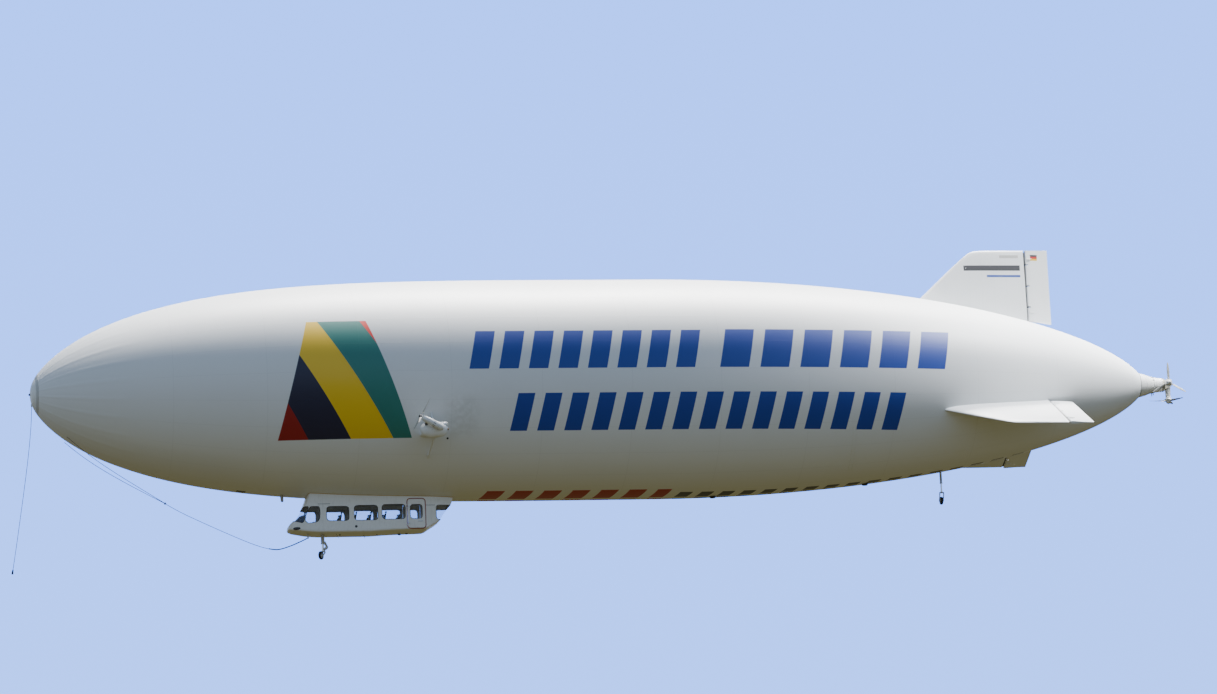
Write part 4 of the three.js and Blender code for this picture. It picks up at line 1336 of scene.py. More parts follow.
@dataclass
class TopMarks:
    """Plain bars on the top fin and a patch of three bands on its rudder, on both faces."""

    # Front and rear station, low and high edge, finish and body.
    bars: tuple[tuple[float, float, float, float, Finish, str], ...] = (
        (30560, 32480, 3860, 4040, DARK_MARK, "airframe"),
        (31330, 32480, 3640, 3715, BLUE_MARK, "airframe"), (31800, 32440, 4285, 4380, GREY, "airframe"),
        (32850, 33090, 4330, 4395, DARK_MARK, "top_rudder"),
        (32850, 33090, 4265, 4330, BAND_RED, "top_rudder"),
        (32850, 33090, 4200, 4265, BAND_GOLD, "top_rudder"),
    )
    lift: float = 1.2
    depth: float = 3.0
    columns: int = 24

    def half_at(self, surface: TailSurface, station: float, height: float) -> float:
        """Half the thickness of a surface at a place.

        Args:
            surface: the fin with its rudder.
            station: the place's station.
            height: its height above the hull's axis.

        Returns:
            Half the thickness of the fin, or of the rudder behind the hinge.
        """
        if station > surface.hinge:
            nose = surface.nose_at(height)
            return nose * linear([*surface.rudder_rear, (12, 0.1)], (station - surface.hinge) / nose)
        front, half = smooth_rows(surface.sections, height)
        return half * linear(surface.profile, (station - front) / (surface.fin_end - front))

    def build(self, surface: TailSurface) -> None:
        """Builds the bars on a surface."""
        for index, (front, rear, low, high, finish, body) in enumerate(self.bars):
            corners = ((low, -self.depth), (low, self.lift), (high, self.lift), (high, -self.depth))
            columns = [front + (rear - front) * step / self.columns for step in range(self.columns + 1)]
            faces = Shape([], [])
            for sign in (-1, 1):
                faces += loft([
                    [(x, sign * (self.half_at(surface, x, z) + out), z) for z, out in corners]
                    for x in columns
                ])
            build(f"top_mark_{index + 1}", faces.moved(surface.spin), finish, body)


# Propellers


@dataclass
class Propeller:
    """Three blades on a hub, turning about X with the spinner's tip towards -X."""

    radius: float
    hub: float
    # Part of the radius, then chord and half thickness as shares of it, and pitch in degrees.
    rows: Table = (
        (0.08, 0.07, 0.026, 55), (0.25, 0.13, 0.016, 38), (0.60, 0.135, 0.010, 23), (1.0, 0.06, 0.005, 14),
    )
    # Share of the half chord, share of the half thickness.
    profile: Rows = (
        (-1, 0), (-0.9, 0.5), (-0.6, 0.9), (-0.2, 1), (0.3, 0.8), (0.75, 0.4), (1, 0.06),
    )
    # Station and radius as shares of the hub's radius.
    spinner_rows: Rows = (
        (-1.1, 0), (-1.07, 0.16), (-0.95, 0.37), (-0.7, 0.62), (-0.4, 0.82), (0, 0.96), (0.28, 1), (0.28, 0),
    )
    plate_rows: Rows = (
        (0.3, 0), (0.3, 1.24), (0.34, 1.28), (0.5, 1.28), (0.55, 1.22), (0.55, 0.9), (0.74, 0.88), (0.74, 0),
    )

    def blade(self) -> Shape:
        """One blade, its tip upward."""
        section = [*self.profile, *[(along, -thick) for along, thick in self.profile[:0:-1]]]
        rings = []
        for part in [0.08 + 0.92 * step / 20 for step in range(21)]:
            chord, half, pitch = smooth_rows(self.rows, part)
            sine, cosine = sin(radians(pitch)), cos(radians(pitch))
            round_off = 1.0 if part < 0.94 else sqrt(max(0.06, 1 - ((part - 0.94) / 0.062) ** 2))
            points = []
            for along, thick in section:
                across = along * chord * self.radius / 2 * round_off
                deep = thick * half * self.radius
                points.append((
                    across * sine + deep * cosine, across * cosine - deep * sine, part * self.radius,
                ))
            rings.append(points)
        return loft(rings)

    def blades(self, place: Matrix) -> Shape:
        """The three blades with their cuffs."""
        hub = self.hub
        one = self.blade() + rod((0, 0, hub * 0.5), (0, 0, hub * 1.55), hub * 0.34, hub * 0.24, 20, 1.5)
        return together(one.moved(place @ spun(turn)) for turn in (0, 120, 240))

    def hub_part(self, rows: Rows, place: Matrix) -> Shape:
        """A turned part of the hub, whose rows are shares of the hub's radius."""
        return lathe([(station * self.hub, radius * self.hub) for station, radius in rows], 40).moved(place)

    def build(self, name: str, place: Matrix, spinner: Finish) -> None:
        """Builds the propeller in its place, on the body of its name."""
        build(f"{name}_blades", self.blades(place), BLADE, name, name)
        build(f"{name}_spinner", self.hub_part(self.spinner_rows, place), spinner, name)
        build(f"{name}_back_plate", self.hub_part(self.plate_rows, place), WHITE, name)


# Side drives


@dataclass
class SideDrive:
    """An engine pod on its pylon, with a thruster that tilts at its outer side. It is drawn to port."""

    side: Side
    pivot: Point = (12300, -4200, -1870)
    rest_tilt: float = 28.0
    pod_centre: Point = (12235, -3890, -1950)
    pod_size: Point = (440, 185, 250)
    pod_power: float = 2.6
    pod_wall: float = 12.0
    propeller_radius: float = 675.0
    propeller_reach: float = 575.0
    hub: float = 74.0
    thruster_radius: float = 105.0
    # Ducts: the mouth and the root, each by station and distance out, then radius, bore and height.
    intake: tuple = ((11987, 4004), (12115, 3908), 80, 60, -1790)
    outlet: tuple = ((12640, 3890), (12430, 3890), 88, 70, -1800)
    pylon_centre: tuple[float, float] = (12200, -1950)
    # Upper half of the pylon's section.
    pylon_top: Rows = (
        (11972, -1922), (12010, -1905), (12090, -1894), (12180, -1890), (12270, -1899), (12340, -1915),
        (12420, -1936),
    )
    # Distance out and size of each of the pylon's sections.
    pylon_sections: Rows = (
        (2760, 1.42), (2840, 1.24), (2920, 1.1), (3060, 1.0), (3640, 1.0), (3730, 1.1), (3790, 1.28),
    )
    # Start and end of each stay: station, distance out and height.
    stay_ends: tuple = (
        ((12250, 3890, -1800), (12250, 3050, -1150)), ((12250, 3890, -2100), (12250, 2350, -2560)),
    )

    @property
    def tilt(self) -> Matrix:
        """The move from the thruster's own axis to its place at rest."""
        return Matrix.Translation(self.pivot) @ spun(self.rest_tilt, "Y")

    def shell(self, inset: float) -> Shape:
        """The pod's body, drawn in by a wall."""
        parts = [cos(pi * step / 32) for step in range(33)]
        rows = [(-part, sqrt(max(0.0, 1 - abs(part) ** self.pod_power))) for part in parts]
        size = Matrix.Diagonal((*(length - inset for length in self.pod_size), 1))
        return lathe(rows).moved(Matrix.Translation(self.pod_centre) @ size)

    def duct_ends(self, duct: tuple) -> list[Vector]:
        """The centres of a duct's mouth and of its root."""
        return [Vector((station, -out, duct[4])) for station, out in duct[:2]]

    def duct(self, sizes: tuple, bore: bool) -> Shape:
        """A round duct out of the pod, or the longer plug that bores it."""
        start, end = self.duct_ends(sizes)
        if bore:
            start, end = start.lerp(end, -0.3), start.lerp(end, 1.1)
        return rod(start, end, sizes[3] if bore else sizes[2], sides=40, edge=4)

    def pod(self) -> Shape:
        """The pod's outer shell with its two ducts, hollow and open at both."""
        rows = [
            (-1, 0), (-0.96, 0.28), (-0.8, 0.6), (-0.4, 0.92), (0, 1), (0.5, 0.86), (0.85, 0.5),
            (0.98, 0.18), (1, 0),
        ]
        place = Matrix.Translation((12190, self.pod_centre[1], -2105)) @ Matrix.Diagonal((250, 120, 105, 1))
        ducts = (self.intake, self.outlet)
        return trimmed(
            self.shell(0), (Trim.JOIN, lathe(rows, 40).moved(place)),
            *((Trim.JOIN, self.duct(duct, False)) for duct in ducts), (Trim.CUT, self.shell(self.pod_wall)),
            *((Trim.CUT, self.duct(duct, True)) for duct in ducts),
        )

    def pylon(self) -> Shape:
        """The pylon: an aerofoil beam with a flared root and a fillet at the pod."""
        x0, z0 = self.pylon_centre
        under = [(x, 2 * z0 - z) for x, z in self.pylon_top[::-1]]
        outline = [(11950, z0), *self.pylon_top, (12470, z0), *under]
        return loft([
            [(x0 + (x - x0) * size, -out, z0 + (z - z0) * size) for x, z in outline]
            for out, size in self.pylon_sections
        ])

    def stays(self) -> Shape:
        """The two stays with their end sockets."""
        shapes = []
        for ends in self.stay_ends:
            first, last = (Vector((x, -out, z)) for x, out, z in ends)
            run = (last - first).normalized()
            shapes.append(rod(first, last, 25))
            shapes.append(rod(first + run * 165, first + run * 235, 34, 30))
            shapes.append(rod(last - run * 260, last - run * 30, 32, 44))
        return together(shapes)

    def boss(self) -> Shape:
        """The bearing boss on the pod's outer side."""
        x, y, z = self.pivot
        return rod((x, -3990, z), (x, y + self.thruster_radius + 18, z), 92, 78, sides=40, edge=4)

    def lip(self) -> Shape:
        """The rolled lip round the intake's mouth."""
        start, end = self.duct_ends(self.intake)
        return turned([(0, 58), (-8, 64), (-10, 72), (-4, 80), (8, 82), (8, 60)], start, end, 40)

    def thruster(self) -> Shape:
        """The drive tube on its trunnion, with joint lines and a domed tail."""
        rows = [
            (-500, 0), (-500, 66), (-492, 72), (-465, 90), (-420, 97), (-350, 102), (-280, 105), (-182, 105),
            (-180, 101), (-174, 101), (-172, 105), (60, 105), (62, 101), (68, 101), (70, 104), (120, 97),
            (160, 86), (190, 68), (206, 56), (215, 46), (205, 40), (150, 34), (150, 0),
        ]
        trunnion = rod((0, 0, 0), (0, 122, 0), 62, sides=40)
        saddle = rod((0, 60, 0), (0, 112, 0), 84, 74, sides=40, edge=5)
        return (lathe(rows, 56) + trunnion + saddle).moved(self.tilt)

    def thruster_trim(self) -> Shape:
        """Cooling slots and cover screws of the drive tube."""
        slot = slab(rounded(rectangle(-150, -60, -9, 9), 9), Plane.PLAN, 103.6, 106.2)
        slots = [slot.moved(spun(turn)) for turn in range(12, 360, 40)]
        rows = [(0, 0), (0, 5), (2.4, 4), (2.6, 0)]
        heads = [turned(rows, (station, 0, 104), (station, 0, 105), 8) for station in (-195, 45)]
        screws = [head.moved(spun(turn)) for head in heads for turn in range(0, 360, 30)]
        return together(slots + screws).moved(self.tilt)

    def exhaust(self) -> Shape:
        """The short exhaust pipe under the outlet."""
        y = self.pod_centre[1]
        rows = [(0, 0), (0, 30), (120, 30), (126, 33), (134, 33), (134, 26), (40, 24), (40, 0)]
        return turned(rows, (12560, y - 40, -1930), (12700, y - 60, -1965), 28)

    def grilles(self) -> Shape:
        """Grilles set back in the two ducts."""
        bars = []
        for duct in (self.intake, self.outlet):
            start, end = self.duct_ends(duct)
            bore = duct[3]
            centre = start.lerp(end, 0.35)
            across = Vector((0, 0, 1)).cross(end - start).normalized()
            for offset in (-0.66, -0.33, 0, 0.33, 0.66):
                reach = across * bore * sqrt(1 - offset ** 2)
                level = centre + Vector((0, 0, offset * bore))
                bars.append(rod(level - reach, level + reach, 4, sides=8, edge=1))
        return together(bars)

    def latches(self) -> Shape:
        """The latches along the pod's cowling split."""
        length, width, _ = self.pod_size
        x, y, z = self.pod_centre
        latch = slab(rounded(rectangle(-22, 22, -9, 9), 6), Plane.SIDE, -4, 4)
        places = []
        for along in (-0.6, -0.2, 0.2, 0.6):
            out = sqrt(1 - abs(along) ** self.pod_power) * width * 0.985
            places += [(x + along * length, y + sign * out, z - 40) for sign in (-1, 1)]
        return together(latch.moved(Matrix.Translation(place)) for place in places)

    def build(self) -> None:
        """Builds the drive."""
        label, side = self.side.label, self.side
        body = f"{label}_thruster"
        shell = self.pod() + self.pylon() + self.stays() + self.boss() + self.lip()
        build(f"{label}_pod_shell", shell.on(side), WHITE, node=f"{label}_engine_pod")
        build(f"{label}_pod_latches", self.latches().on(side), METAL, bevel=1.5)
        build(f"{label}_pod_grilles", self.grilles().on(side), DARK)
        build(f"{label}_exhaust_pipe", self.exhaust().on(side), BURNT)
        build(f"{label}_drive_tube", self.thruster().on(side), WHITE, body, body)
        build(f"{label}_drive_tube_trim", self.thruster_trim().on(side), DARK, body)
        place = self.tilt @ Matrix.Translation((-self.propeller_reach, 0, 0))
        if side is Side.STARBOARD:
            place = Matrix.Translation((0, -2 * self.pivot[1], 0)) @ place
        Propeller(self.propeller_radius, self.hub).build(f"{label}_propeller", place, DARK)
        redress(DARK, f"{label}_engine")


# Stern drive


@dataclass
class SternDrive:
    """The tail fairing, its gearbox, the fixed lateral propeller and the pusher on its swinging leg."""

    tilt_station: float = 37270.0
    lateral: Point = (37095, -725, -40)
    pusher_drop: float = 525.0
    propeller_radius: float = 660.0
    hub: float = 100.0
    hub_back: float = 85.0
    front: float = 36250.4
    rear: float = 37040.0
    wall: float = 14.0
    cheek: tuple[float, float] = (127, 157)
    sides: int = 96
    fairing_rows: Rows = (
        (36250, 408), (36440, 360), (36700, 275), (36965, 232), (37040, 226),
    )
    # Front and rear station of each strap, with the fairing's radius at both.
    straps: Table = (
        (36484, 36500, 346, 341), (36756, 36772, 266, 264), (37010, 37038, 228, 226),
    )

    def fairing(self) -> Shape:
        """The tapered shell."""
        stations = [self.front + step * (self.rear - self.front) / 40 for step in range(41)]
        outer = [(station, smooth_rows(self.fairing_rows, station)[0]) for station in stations]
        inner = [(station, radius - self.wall) for station, radius in outer[::-8]]
        return lathe([*outer, *inner], self.sides, endless=True)

    def strap(self, front: float, rear: float, radius0: float, radius1: float) -> Shape:
        """One raised strap at a joint of the fairing, from one station and radius to another."""
        rows = [
            (front, radius0 - 6), (front, radius0 + 2), (front + 3, radius0 + 4), (rear - 3, radius1 + 4),
            (rear, radius1 + 2), (rear, radius1 - 6),
        ]
        return lathe(rows, self.sides, endless=True)

    def joint(self) -> Shape:
        """The dark lacing band between the envelope and the fairing."""
        rows = [(36236, 404), (36236, 414), (36252, 416), (36268, 408), (36268, 396)]
        return lathe(rows, self.sides, endless=True)

    def vents(self) -> Shape:
        """Two vents and a fitting on each side of the fairing."""
        port = rod((36737, -70, -250), (36745, -92, -352), 15, 11)
        shapes = []
        for height in (212, 122):
            outline = rounded(rectangle(36690, 36760, height - 20, height + 20), 10)
            depth = sqrt(268 ** 2 - height ** 2)
            shapes.append(slab(outline, Plane.SIDE, -depth - 5, -depth + 12))
        port = together([*shapes, port])
        return port + port.mirrored()

    def exhaust(self) -> Shape:
        """The oval exhaust on the port side."""
        rows = [(-30, 0), (-30, 36), (14, 36), (18, 33), (18, 26), (4, 24), (4, 0)]
        return turned(rows, (36732, -152, -213), (36732, -252, -293), 32)

    def gearbox(self) -> Shape:
        """The neck, the fork's cheeks and the transverse drive tube."""
        rows = [
            (37040.4, 0), (37040.4, 220), (37044, 224), (37110, 222), (37140, 210), (37150, 198), (37150, 0),
        ]
        outline = rounded([
            (37100, -150), (37270, -112), (37365, -66), (37390, 0), (37365, 66), (37270, 112), (37100, 150),
        ], 30)
        inner, outer = self.cheek
        cheeks = slab(outline, Plane.SIDE, -outer, -inner) + slab(outline, Plane.SIDE, inner, outer)
        x, y, z = self.lateral
        drive = rod((x, -90, z), (x, y + self.hub_back, z), 50, 46, 40)
        collars = rod((x, -205, z), (x, -240, z), 56, 58, 40) + rod((x, -560, z), (x, -600, z), 55, 53, 40)
        return lathe(rows, 72) + cheeks + drive + collars

    def caps(self) -> Shape:
        """The end caps of the leg's bearing."""
        x, out = self.tilt_station, self.cheek[1]
        rows = [(0, 0), (0, 44), (8, 42), (12, 30), (14, 0)]
        return together(turned(rows, (x, sign * out, 0), (x, sign * 200, 0), 28) for sign in (-1, 1))

    def leg(self) -> Shape:
        """The swinging leg with its knuckle and its bearing housing."""
        x = self.tilt_station
        knuckle = rod((x, -120, 0), (x, 120, 0), 84, sides=48, edge=4)
        rows = [
            (0, 0), (0, 97), (6, 103), (140, 97), (144, 93), (156, 93), (160, 96), (380, 82), (386, 79),
            (398, 79), (404, 84), (426, 84), (432, 80), (439, 72), (439, 0),
        ]
        return knuckle + turned(rows, (x, 0, 0), (x, 0, -1), 56)

    def leg_bolts(self) -> Shape:
        """Bolts round the leg's lower flange."""
        bolt = turned([(0, 0), (0, 6), (4, 5), (4, 0)], (84, 0, -415), (85, 0, -415), 6)
        place = Matrix.Translation((self.tilt_station, 0, 0))
        return together(bolt.moved(spun(turn, "Z")) for turn in range(0, 360, 30)).moved(place)

    def build(self) -> None:
        """Builds the stern drive."""
        build("stern_cone", self.fairing(), WHITE, node="stern_fairing")
        build("stern_straps", together(self.strap(*strap) for strap in self.straps), WHITE)
        build("stern_lacing", self.joint(), DARK)
        build("stern_vents", self.vents(), DARK, bevel=2)
        build("stern_exhaust", self.exhaust(), BURNT)
        build("stern_fork", self.gearbox(), OLIVE, node="stern_gearbox")
        build("stern_fork_caps", self.caps(), OLIVE)
        build("pusher_leg_shell", self.leg(), WHITE, "pusher_leg", "pusher_leg")
        build("pusher_leg_bolts", self.leg_bolts(), METAL, "pusher_leg")
        redress(DARK, "stern_engine")
        propeller = Propeller(self.propeller_radius, self.hub)
        propeller.build("lateral_propeller", Matrix.Translation(self.lateral) @ spun(90, "Z"), WHITE)
        low = Matrix.Translation((self.tilt_station, 0, -self.pusher_drop))
        propeller.build("pusher_propeller", low @ spun(-90, "Y"), WHITE)


# Gondola


@dataclass
class Gondola:
    """The cabin shell: belly, nose, walls and tail, its doors, its gaskets and its small fittings."""

    wall: float = 20.0
    sill: float = -4500.0
    nose_joint: float = 9110.0
    tail_joint: float = 12560.0
    gap: float = 2.0
    # Further out, down and up than the cabin's walls reach, and stations ahead of it and behind it.
    reach: float = 800.0
    under: float = -5000.0
    over: float = -3100.0
    ahead: float = 7900.0
    behind: float = 13700.0
    # Station, top, bottom and half width.
    sections: Table = (
        (8047, -4392, -4442, 250), (8064, -4322, -4456, 320), (8105, -4262, -4470, 385),
        (8180, -4200, -4495, 430), (8276, -4110, -4510, 465), (8400, -3925, -4525, 500),
        (8540, -3695, -4548, 525), (8633, -3478, -4560, 538), (8720, -3200, -4570, 547),
        (8900, -2600, -4582, 557), (9075, -2600, -4590, 562), (10500, -2600, -4590, 562),
        (11300, -2600, -4552, 562), (11880, -2600, -4535, 562), (12290, -2600, -4527, 556),
        (12370, -2600, -4522, 553), (12450, -2600, -4495, 550), (12560, -2600, -4425, 546),
        (12865, -2600, -4225, 515), (13172, -2600, -3815, 470), (13231, -2600, -3710, 458),
        (13330, -2600, -3450, 438), (13400, -2600, -3200, 425),
    )
    # Share of the half width, share of the height, and most height of each corner's rounding.
    belly_corner: tuple[float, float, float] = (0.12, 0.45, 55)
    brow_corner: tuple[float, float, float] = (0.35, 0.4, 200)
    brow_point: int = 15
    # Front and rear station, low and high edge of each cabin window.
    windows: Table = (
        (9240, 9935, -4220, -3780), (10115, 10855, -4213, -3755), (11000, 11730, -4192, -3737),
    )
    window_corner: float = 110.0
    nose_glass: Rows = (
        (7900, -3772), (8664, -3768), (8621, -3927), (8552, -4028), (8511, -4212), (8465, -4272),
        (8217, -4196), (7900, -4140),
    )
    pilot_window: Rows = (
        (8729, -3770), (8992, -3773), (9020, -3898), (9005, -4150), (8930, -4248), (8653, -4286),
        (8563, -4211), (8573, -4093), (8626, -3934),
    )
    tail_glass: tuple[float, float, float, float] = (12736, 13600, -4216, -3772)
    door: tuple[float, float, float, float] = (11805, 12370, -4494, -3562)
    door_gap: float = 6.0
    door_corner: float = 105.0
    door_window: tuple[float, float, float, float] = (11900, 12275, -4185, -3745)
    hinge_place: tuple[float, float] = (11817, 575)
    hinge_heights: tuple[float, float] = (-4330, -3800)
    lamp_place: tuple[float, float] = (8285, -4448)
    lamp_size: tuple[float, float] = (115, 46)
    # Front and rear station and low edge of each rain gutter.
    gutters: Table = ((8955, 9354, -3694), (12383, 12690, -3772))
    # Station, distance to starboard, height and radius of each bump under the belly.
    bumps: Table = (
        (11645, 330, -4541, 58), (11870, 300, -4536, 42), (10900, 150, -4571, 26), (9700, 0, -4590, 30),
    )
    hull: Hull = field(default_factory=Hull)

    def section(self, station: float, inset: float) -> list[Point]:
        """One ring of the body.

        Args:
            station: its station.
            inset: how far it is drawn in, measured square to the skin.

        Returns:
            Its points, from the belly up one side and down the other.
        """
        top, bottom, half = smooth_rows(self.sections, station)
        before = smooth_rows(self.sections, station - 12)
        after = smooth_rows(self.sections, station + 12)
        run = min(station + 12, self.sections[-1][0]) - max(station - 12, self.sections[0][0])
        top -= inset * hypot(1, (after[0] - before[0]) / run)
        bottom += inset * hypot(1, (after[1] - before[1]) / run)
        half -= inset
        steps = 7
        points = []
        for quarter in range(4):
            low = quarter in (0, 3)
            side = 1 if quarter < 2 else -1
            out_share, up_share, most = self.belly_corner if low else self.brow_corner
            out, up = half * out_share, min(most, (top - bottom) * up_share)
            y, z = side * (half - out), bottom + up if low else top - up
            for step in range(steps + 1):
                angle = (quarter - 1 + step / steps) * pi / 2
                points.append((station, y + out * cos(angle), z + up * sin(angle)))
        return points

    def body(self, inset: float) -> Shape:
        """The closed body, drawn in by an inset."""
        stations = []
        for (first, *_), (last, *_) in zip(self.sections, self.sections[1:]):
            count = max(1, round((last - first) / 70))
            stations += [first + (last - first) * step / count for step in range(count)]
        rings = [self.section(station, inset) for station in [*stations, self.sections[-1][0]]]
        kept = [points for points in rings if points[self.brow_point][2] - points[0][2] > 45]
        kept[-1] = [(x + inset, y, z) for x, y, z in kept[-1]]
        return loft(kept)

    def hull_blank(self, growth: float = -6.0) -> Shape:
        """The hull's underside as a solid, for trimming what meets it."""
        stations = [7000 + step * 7400 / 24 for step in range(25)]
        under = [(station, self.hull.radius_at(station) + growth) for station in stations]
        rows = [(stations[0], 0), *under, (stations[-1], 0)]
        return lathe(rows, 240)

    def outlines(self) -> list[Outline]:
        """The side views of every window in the cabin's fixed walls."""
        cabin = [rounded(rectangle(*window), self.window_corner) for window in self.windows]
        tail = rounded(rectangle(*self.tail_glass), 90)
        return [*cabin, tail, rounded(self.nose_glass, 34), rounded(self.pilot_window, 46)]

    def across(self, outline: Outline) -> Shape:
        """A slab with an outline, right across the cabin."""
        return slab(outline, Plane.SIDE, -self.reach, self.reach)

    def half(self, side: Side, inner: float = 1.0) -> tuple[float, float]:
        """The low and the high Y of one side's half, from a distance out."""
        return tuple(sorted((side.value * inner, side.value * self.reach)))

    def build(self) -> None:
        """Builds the gondola."""
        hull = self.hull_blank()
        shell = trimmed(self.body(0), (Trim.CUT, self.body(self.wall)), (Trim.CUT, hull))
        openings = together(self.across(outline) for outline in self.outlines())
        door_hole = self.across(rounded(rectangle(*self.door), self.door_corner))
        walls = trimmed(shell, (Trim.CUT, openings), (Trim.CUT, door_hole))
        full = (-self.reach, self.reach)
        front, rear = self.nose_joint + self.gap, self.tail_joint
        low, high = (self.under, self.sill - self.gap), (self.sill, self.over)
        self.panel("belly", shell, "grey_paint", (self.ahead, self.behind), full, low)
        self.panel("nose", walls, "white_paint", (self.ahead, self.nose_joint), full, high)
        self.panel("tail", walls, "white_paint", (rear + self.gap, self.behind), full, high)
        ring_band = trimmed(self.body(-2.5), (Trim.CUT, self.body(9)), (Trim.CUT, hull))
        for side in Side:
            self.panel(f"{side.label}_wall", walls, "white_paint", (front, rear), self.half(side), high)
            self.doorway(side, shell)
        self.gaskets(ring_band)
        self.door_gaskets(ring_band)
        self.fittings()
        sides = [f"{side.label}_{pane}" for side in Side for pane in ("glazing", "door_glass")]
        redress(GLASS, "windscreen", "tail_glazing", *sides)
        redress(GREY, "gondola_roof")
        redress(DARK, "cabin_floor")

    def panel(self, name: str, source: Shape, slot: str, *spans: tuple[float, float]) -> None:
        """Builds one panel of the shell.

        Args:
            name: the end of its name.
            source: what it is cut from.
            slot: not used.
            spans: the ends along X, Y and Z of the box that it is kept in.
        """
        kept = trimmed(source, (Trim.KEEP, block(*zip(*spans))))
        build(f"cabin_{name}", kept, WHITE, node=f"gondola_{name}")

    def doorway(self, side: Side, shell: Shape) -> None:
        """Builds a door with its window, its hinges and its handle.

        Args:
            side: the door's side.
            shell: the cabin's wall before its openings are cut.
        """
        front, rear, low, high = self.door
        gap, label, body = self.door_gap, side.label, f"{side.label}_door"
        corners = rounded(rectangle(front + gap, rear - gap, low + gap, high - gap), self.door_corner - gap)
        leaf = slab(corners, Plane.SIDE, *self.half(side))
        window = self.across(rounded(rectangle(*self.door_window), self.window_corner))
        panel = trimmed(shell, (Trim.KEEP, leaf), (Trim.CUT, window))
        build(f"{label}_door_leaf", panel, WHITE, body, body)
        build(f"{label}_door_handle", self.handle().on(side), METAL, body, bevel=2)
        leaf_hinges, post_hinges = self.hinges(True).on(side), self.hinges(False).on(side)
        build(f"{label}_door_hinge_leaf", leaf_hinges, METAL, body, bevel=1.5)
        build(f"{label}_door_hinge_post", post_hinges, METAL, bevel=1.5)

    def hinges(self, leaf: bool) -> Shape:
        """The hinge straps and barrels of the port door's leaf or of its post."""
        station, out = self.hinge_place
        spans = [(-30, 30)] if leaf else [(-64, -36), (36, 64)]
        strap = (station, 11875) if leaf else (11755, station)
        foot = (11835, 11875) if leaf else (11755, 11795)
        shapes = []
        places = [(height + low, height + high) for height in self.hinge_heights for low, high in spans]
        for low, high in places:
            shapes.append(rod((station, -out, low), (station, -out, high), 8, sides=16, edge=1))
            shapes.append(block((strap[0], -out - 8, low + 4), (strap[1], -out, high - 4)))
            shapes.append(block((foot[0], -out, low + 4), (foot[1], -558, high - 4)))
        return together(shapes)

    def handle(self) -> Shape:
        """The door handle on its plate."""
        plate = slab(rounded(rectangle(12130, 12290, -4292, -4250), 18), Plane.SIDE, -563, -556)
        grip = slab(rounded(rectangle(12150, 12268, -4279, -4264), 7), Plane.SIDE, -577, -570)
        posts = together(block((x - 6, -572, -4278), (x + 6, -560, -4265)) for x in (12164, 12254))
        return plate + grip + posts

    def gaskets(self, band: Shape) -> None:
        """Builds the seals round the windows, the seam under the hull coloured in painted shade, the nose
        lamps and the gutters.

        Args:
            band: a thin skin that wraps the cabin's wall, to cut them from.
        """
        seals = together(
            trimmed(band, (Trim.KEEP, self.across(grown(outline, 15))), (Trim.CUT, self.across(outline)))
            for outline in self.outlines()
        )
        build("window_seals", seals, GASKET)
        # The raised seam strip where the cabin meets the hull; its colour is painted shade of the joint.
        build("cabin_seam_painted_shade", trimmed(band, (Trim.KEEP, self.hull_blank(20.0))), SEAM_SHADE)
        (x, z), (length, height) = self.lamp_place, self.lamp_size
        oval = [(x + length * cos(turn), z + height * sin(turn)) for turn in turns(32)]
        build("nose_lamps", trimmed(band, (Trim.KEEP, self.across(oval))), DARK)
        gutters = together(
            trimmed(band, (Trim.KEEP, self.across(rectangle(front, rear, low, low + 11))))
            for front, rear, low in self.gutters
        )
        build("rain_gutters", gutters, DARK)

    def door_gaskets(self, band: Shape) -> None:
        """Builds the line round each door and the seal of its window.

        Args:
            band: a thin skin that wraps the cabin's wall, to cut them from.
        """
        corners = rounded(rectangle(*self.door), self.door_corner)
        line = trimmed(
            band, (Trim.KEEP, self.across(grown(corners, 26))), (Trim.CUT, self.across(grown(corners, 1))),
            (Trim.CUT, block((7000, -400, -5200), (14000, 400, -3000))),
        )
        build("door_outlines", line, RED_BROWN)
        window = rounded(rectangle(*self.door_window), self.window_corner)
        for side in Side:
            keep = slab(grown(window, 13), Plane.SIDE, *self.half(side, 300.0))
            seal = trimmed(band, (Trim.KEEP, keep), (Trim.CUT, self.across(window)))
            build(f"{side.label}_door_seal", seal, GASKET, f"{side.label}_door")

    def fittings(self) -> None:
        """Builds the belly bumps, the wall ports, the aerials, the cleat and the glare shield."""
        bumps = []
        for station, y, height, radius in self.bumps:
            rows = [
                (-12, 0), (-12, radius), (0, radius), (radius * 0.4, radius * 0.86),
                (radius * 0.7, radius * 0.5), (radius * 0.8, 0),
            ]
            bumps.append(turned(rows, (station, y, height), (station, y, height - 1), 28))
        build("belly_bumps", together(bumps), DARK)
        rows = [(-8, 0), (-8, 40), (2, 40), (4, 36), (4, 30), (1, 28), (1, 0)]
        wall_port = turned(rows, (10157, -562, -4420), (10157, -563, -4420), 28)
        build("wall_ports", wall_port + wall_port.mirrored(), DARK)
        aerials = rod((9560, -180, -4586), (9640, -180, -4736), 6, 3, 10, 1)
        aerials += rod((10480, 160, -4586), (10520, 160, -4696), 8, 4, 10, 1)
        build("belly_aerials", aerials, DARK)
        outline = rounded([(8655, -4556), (8712, -4556), (8712, -4707), (8661, -4707)], 10)
        cleat = slab(outline, Plane.SIDE, -13, 13)
        build("line_cleat", cleat, METAL, bevel=1.5)
        outline = [(8229, -4205), (8380, -4060), (8550, -4000), (8590, -4097), (8519, -4250)]
        shield = trimmed(slab(outline, Plane.SIDE, -430, 430), (Trim.KEEP, self.body(self.wall + 8)))
        build("glare_shield", shield, SHIELD)


# Cabin inside


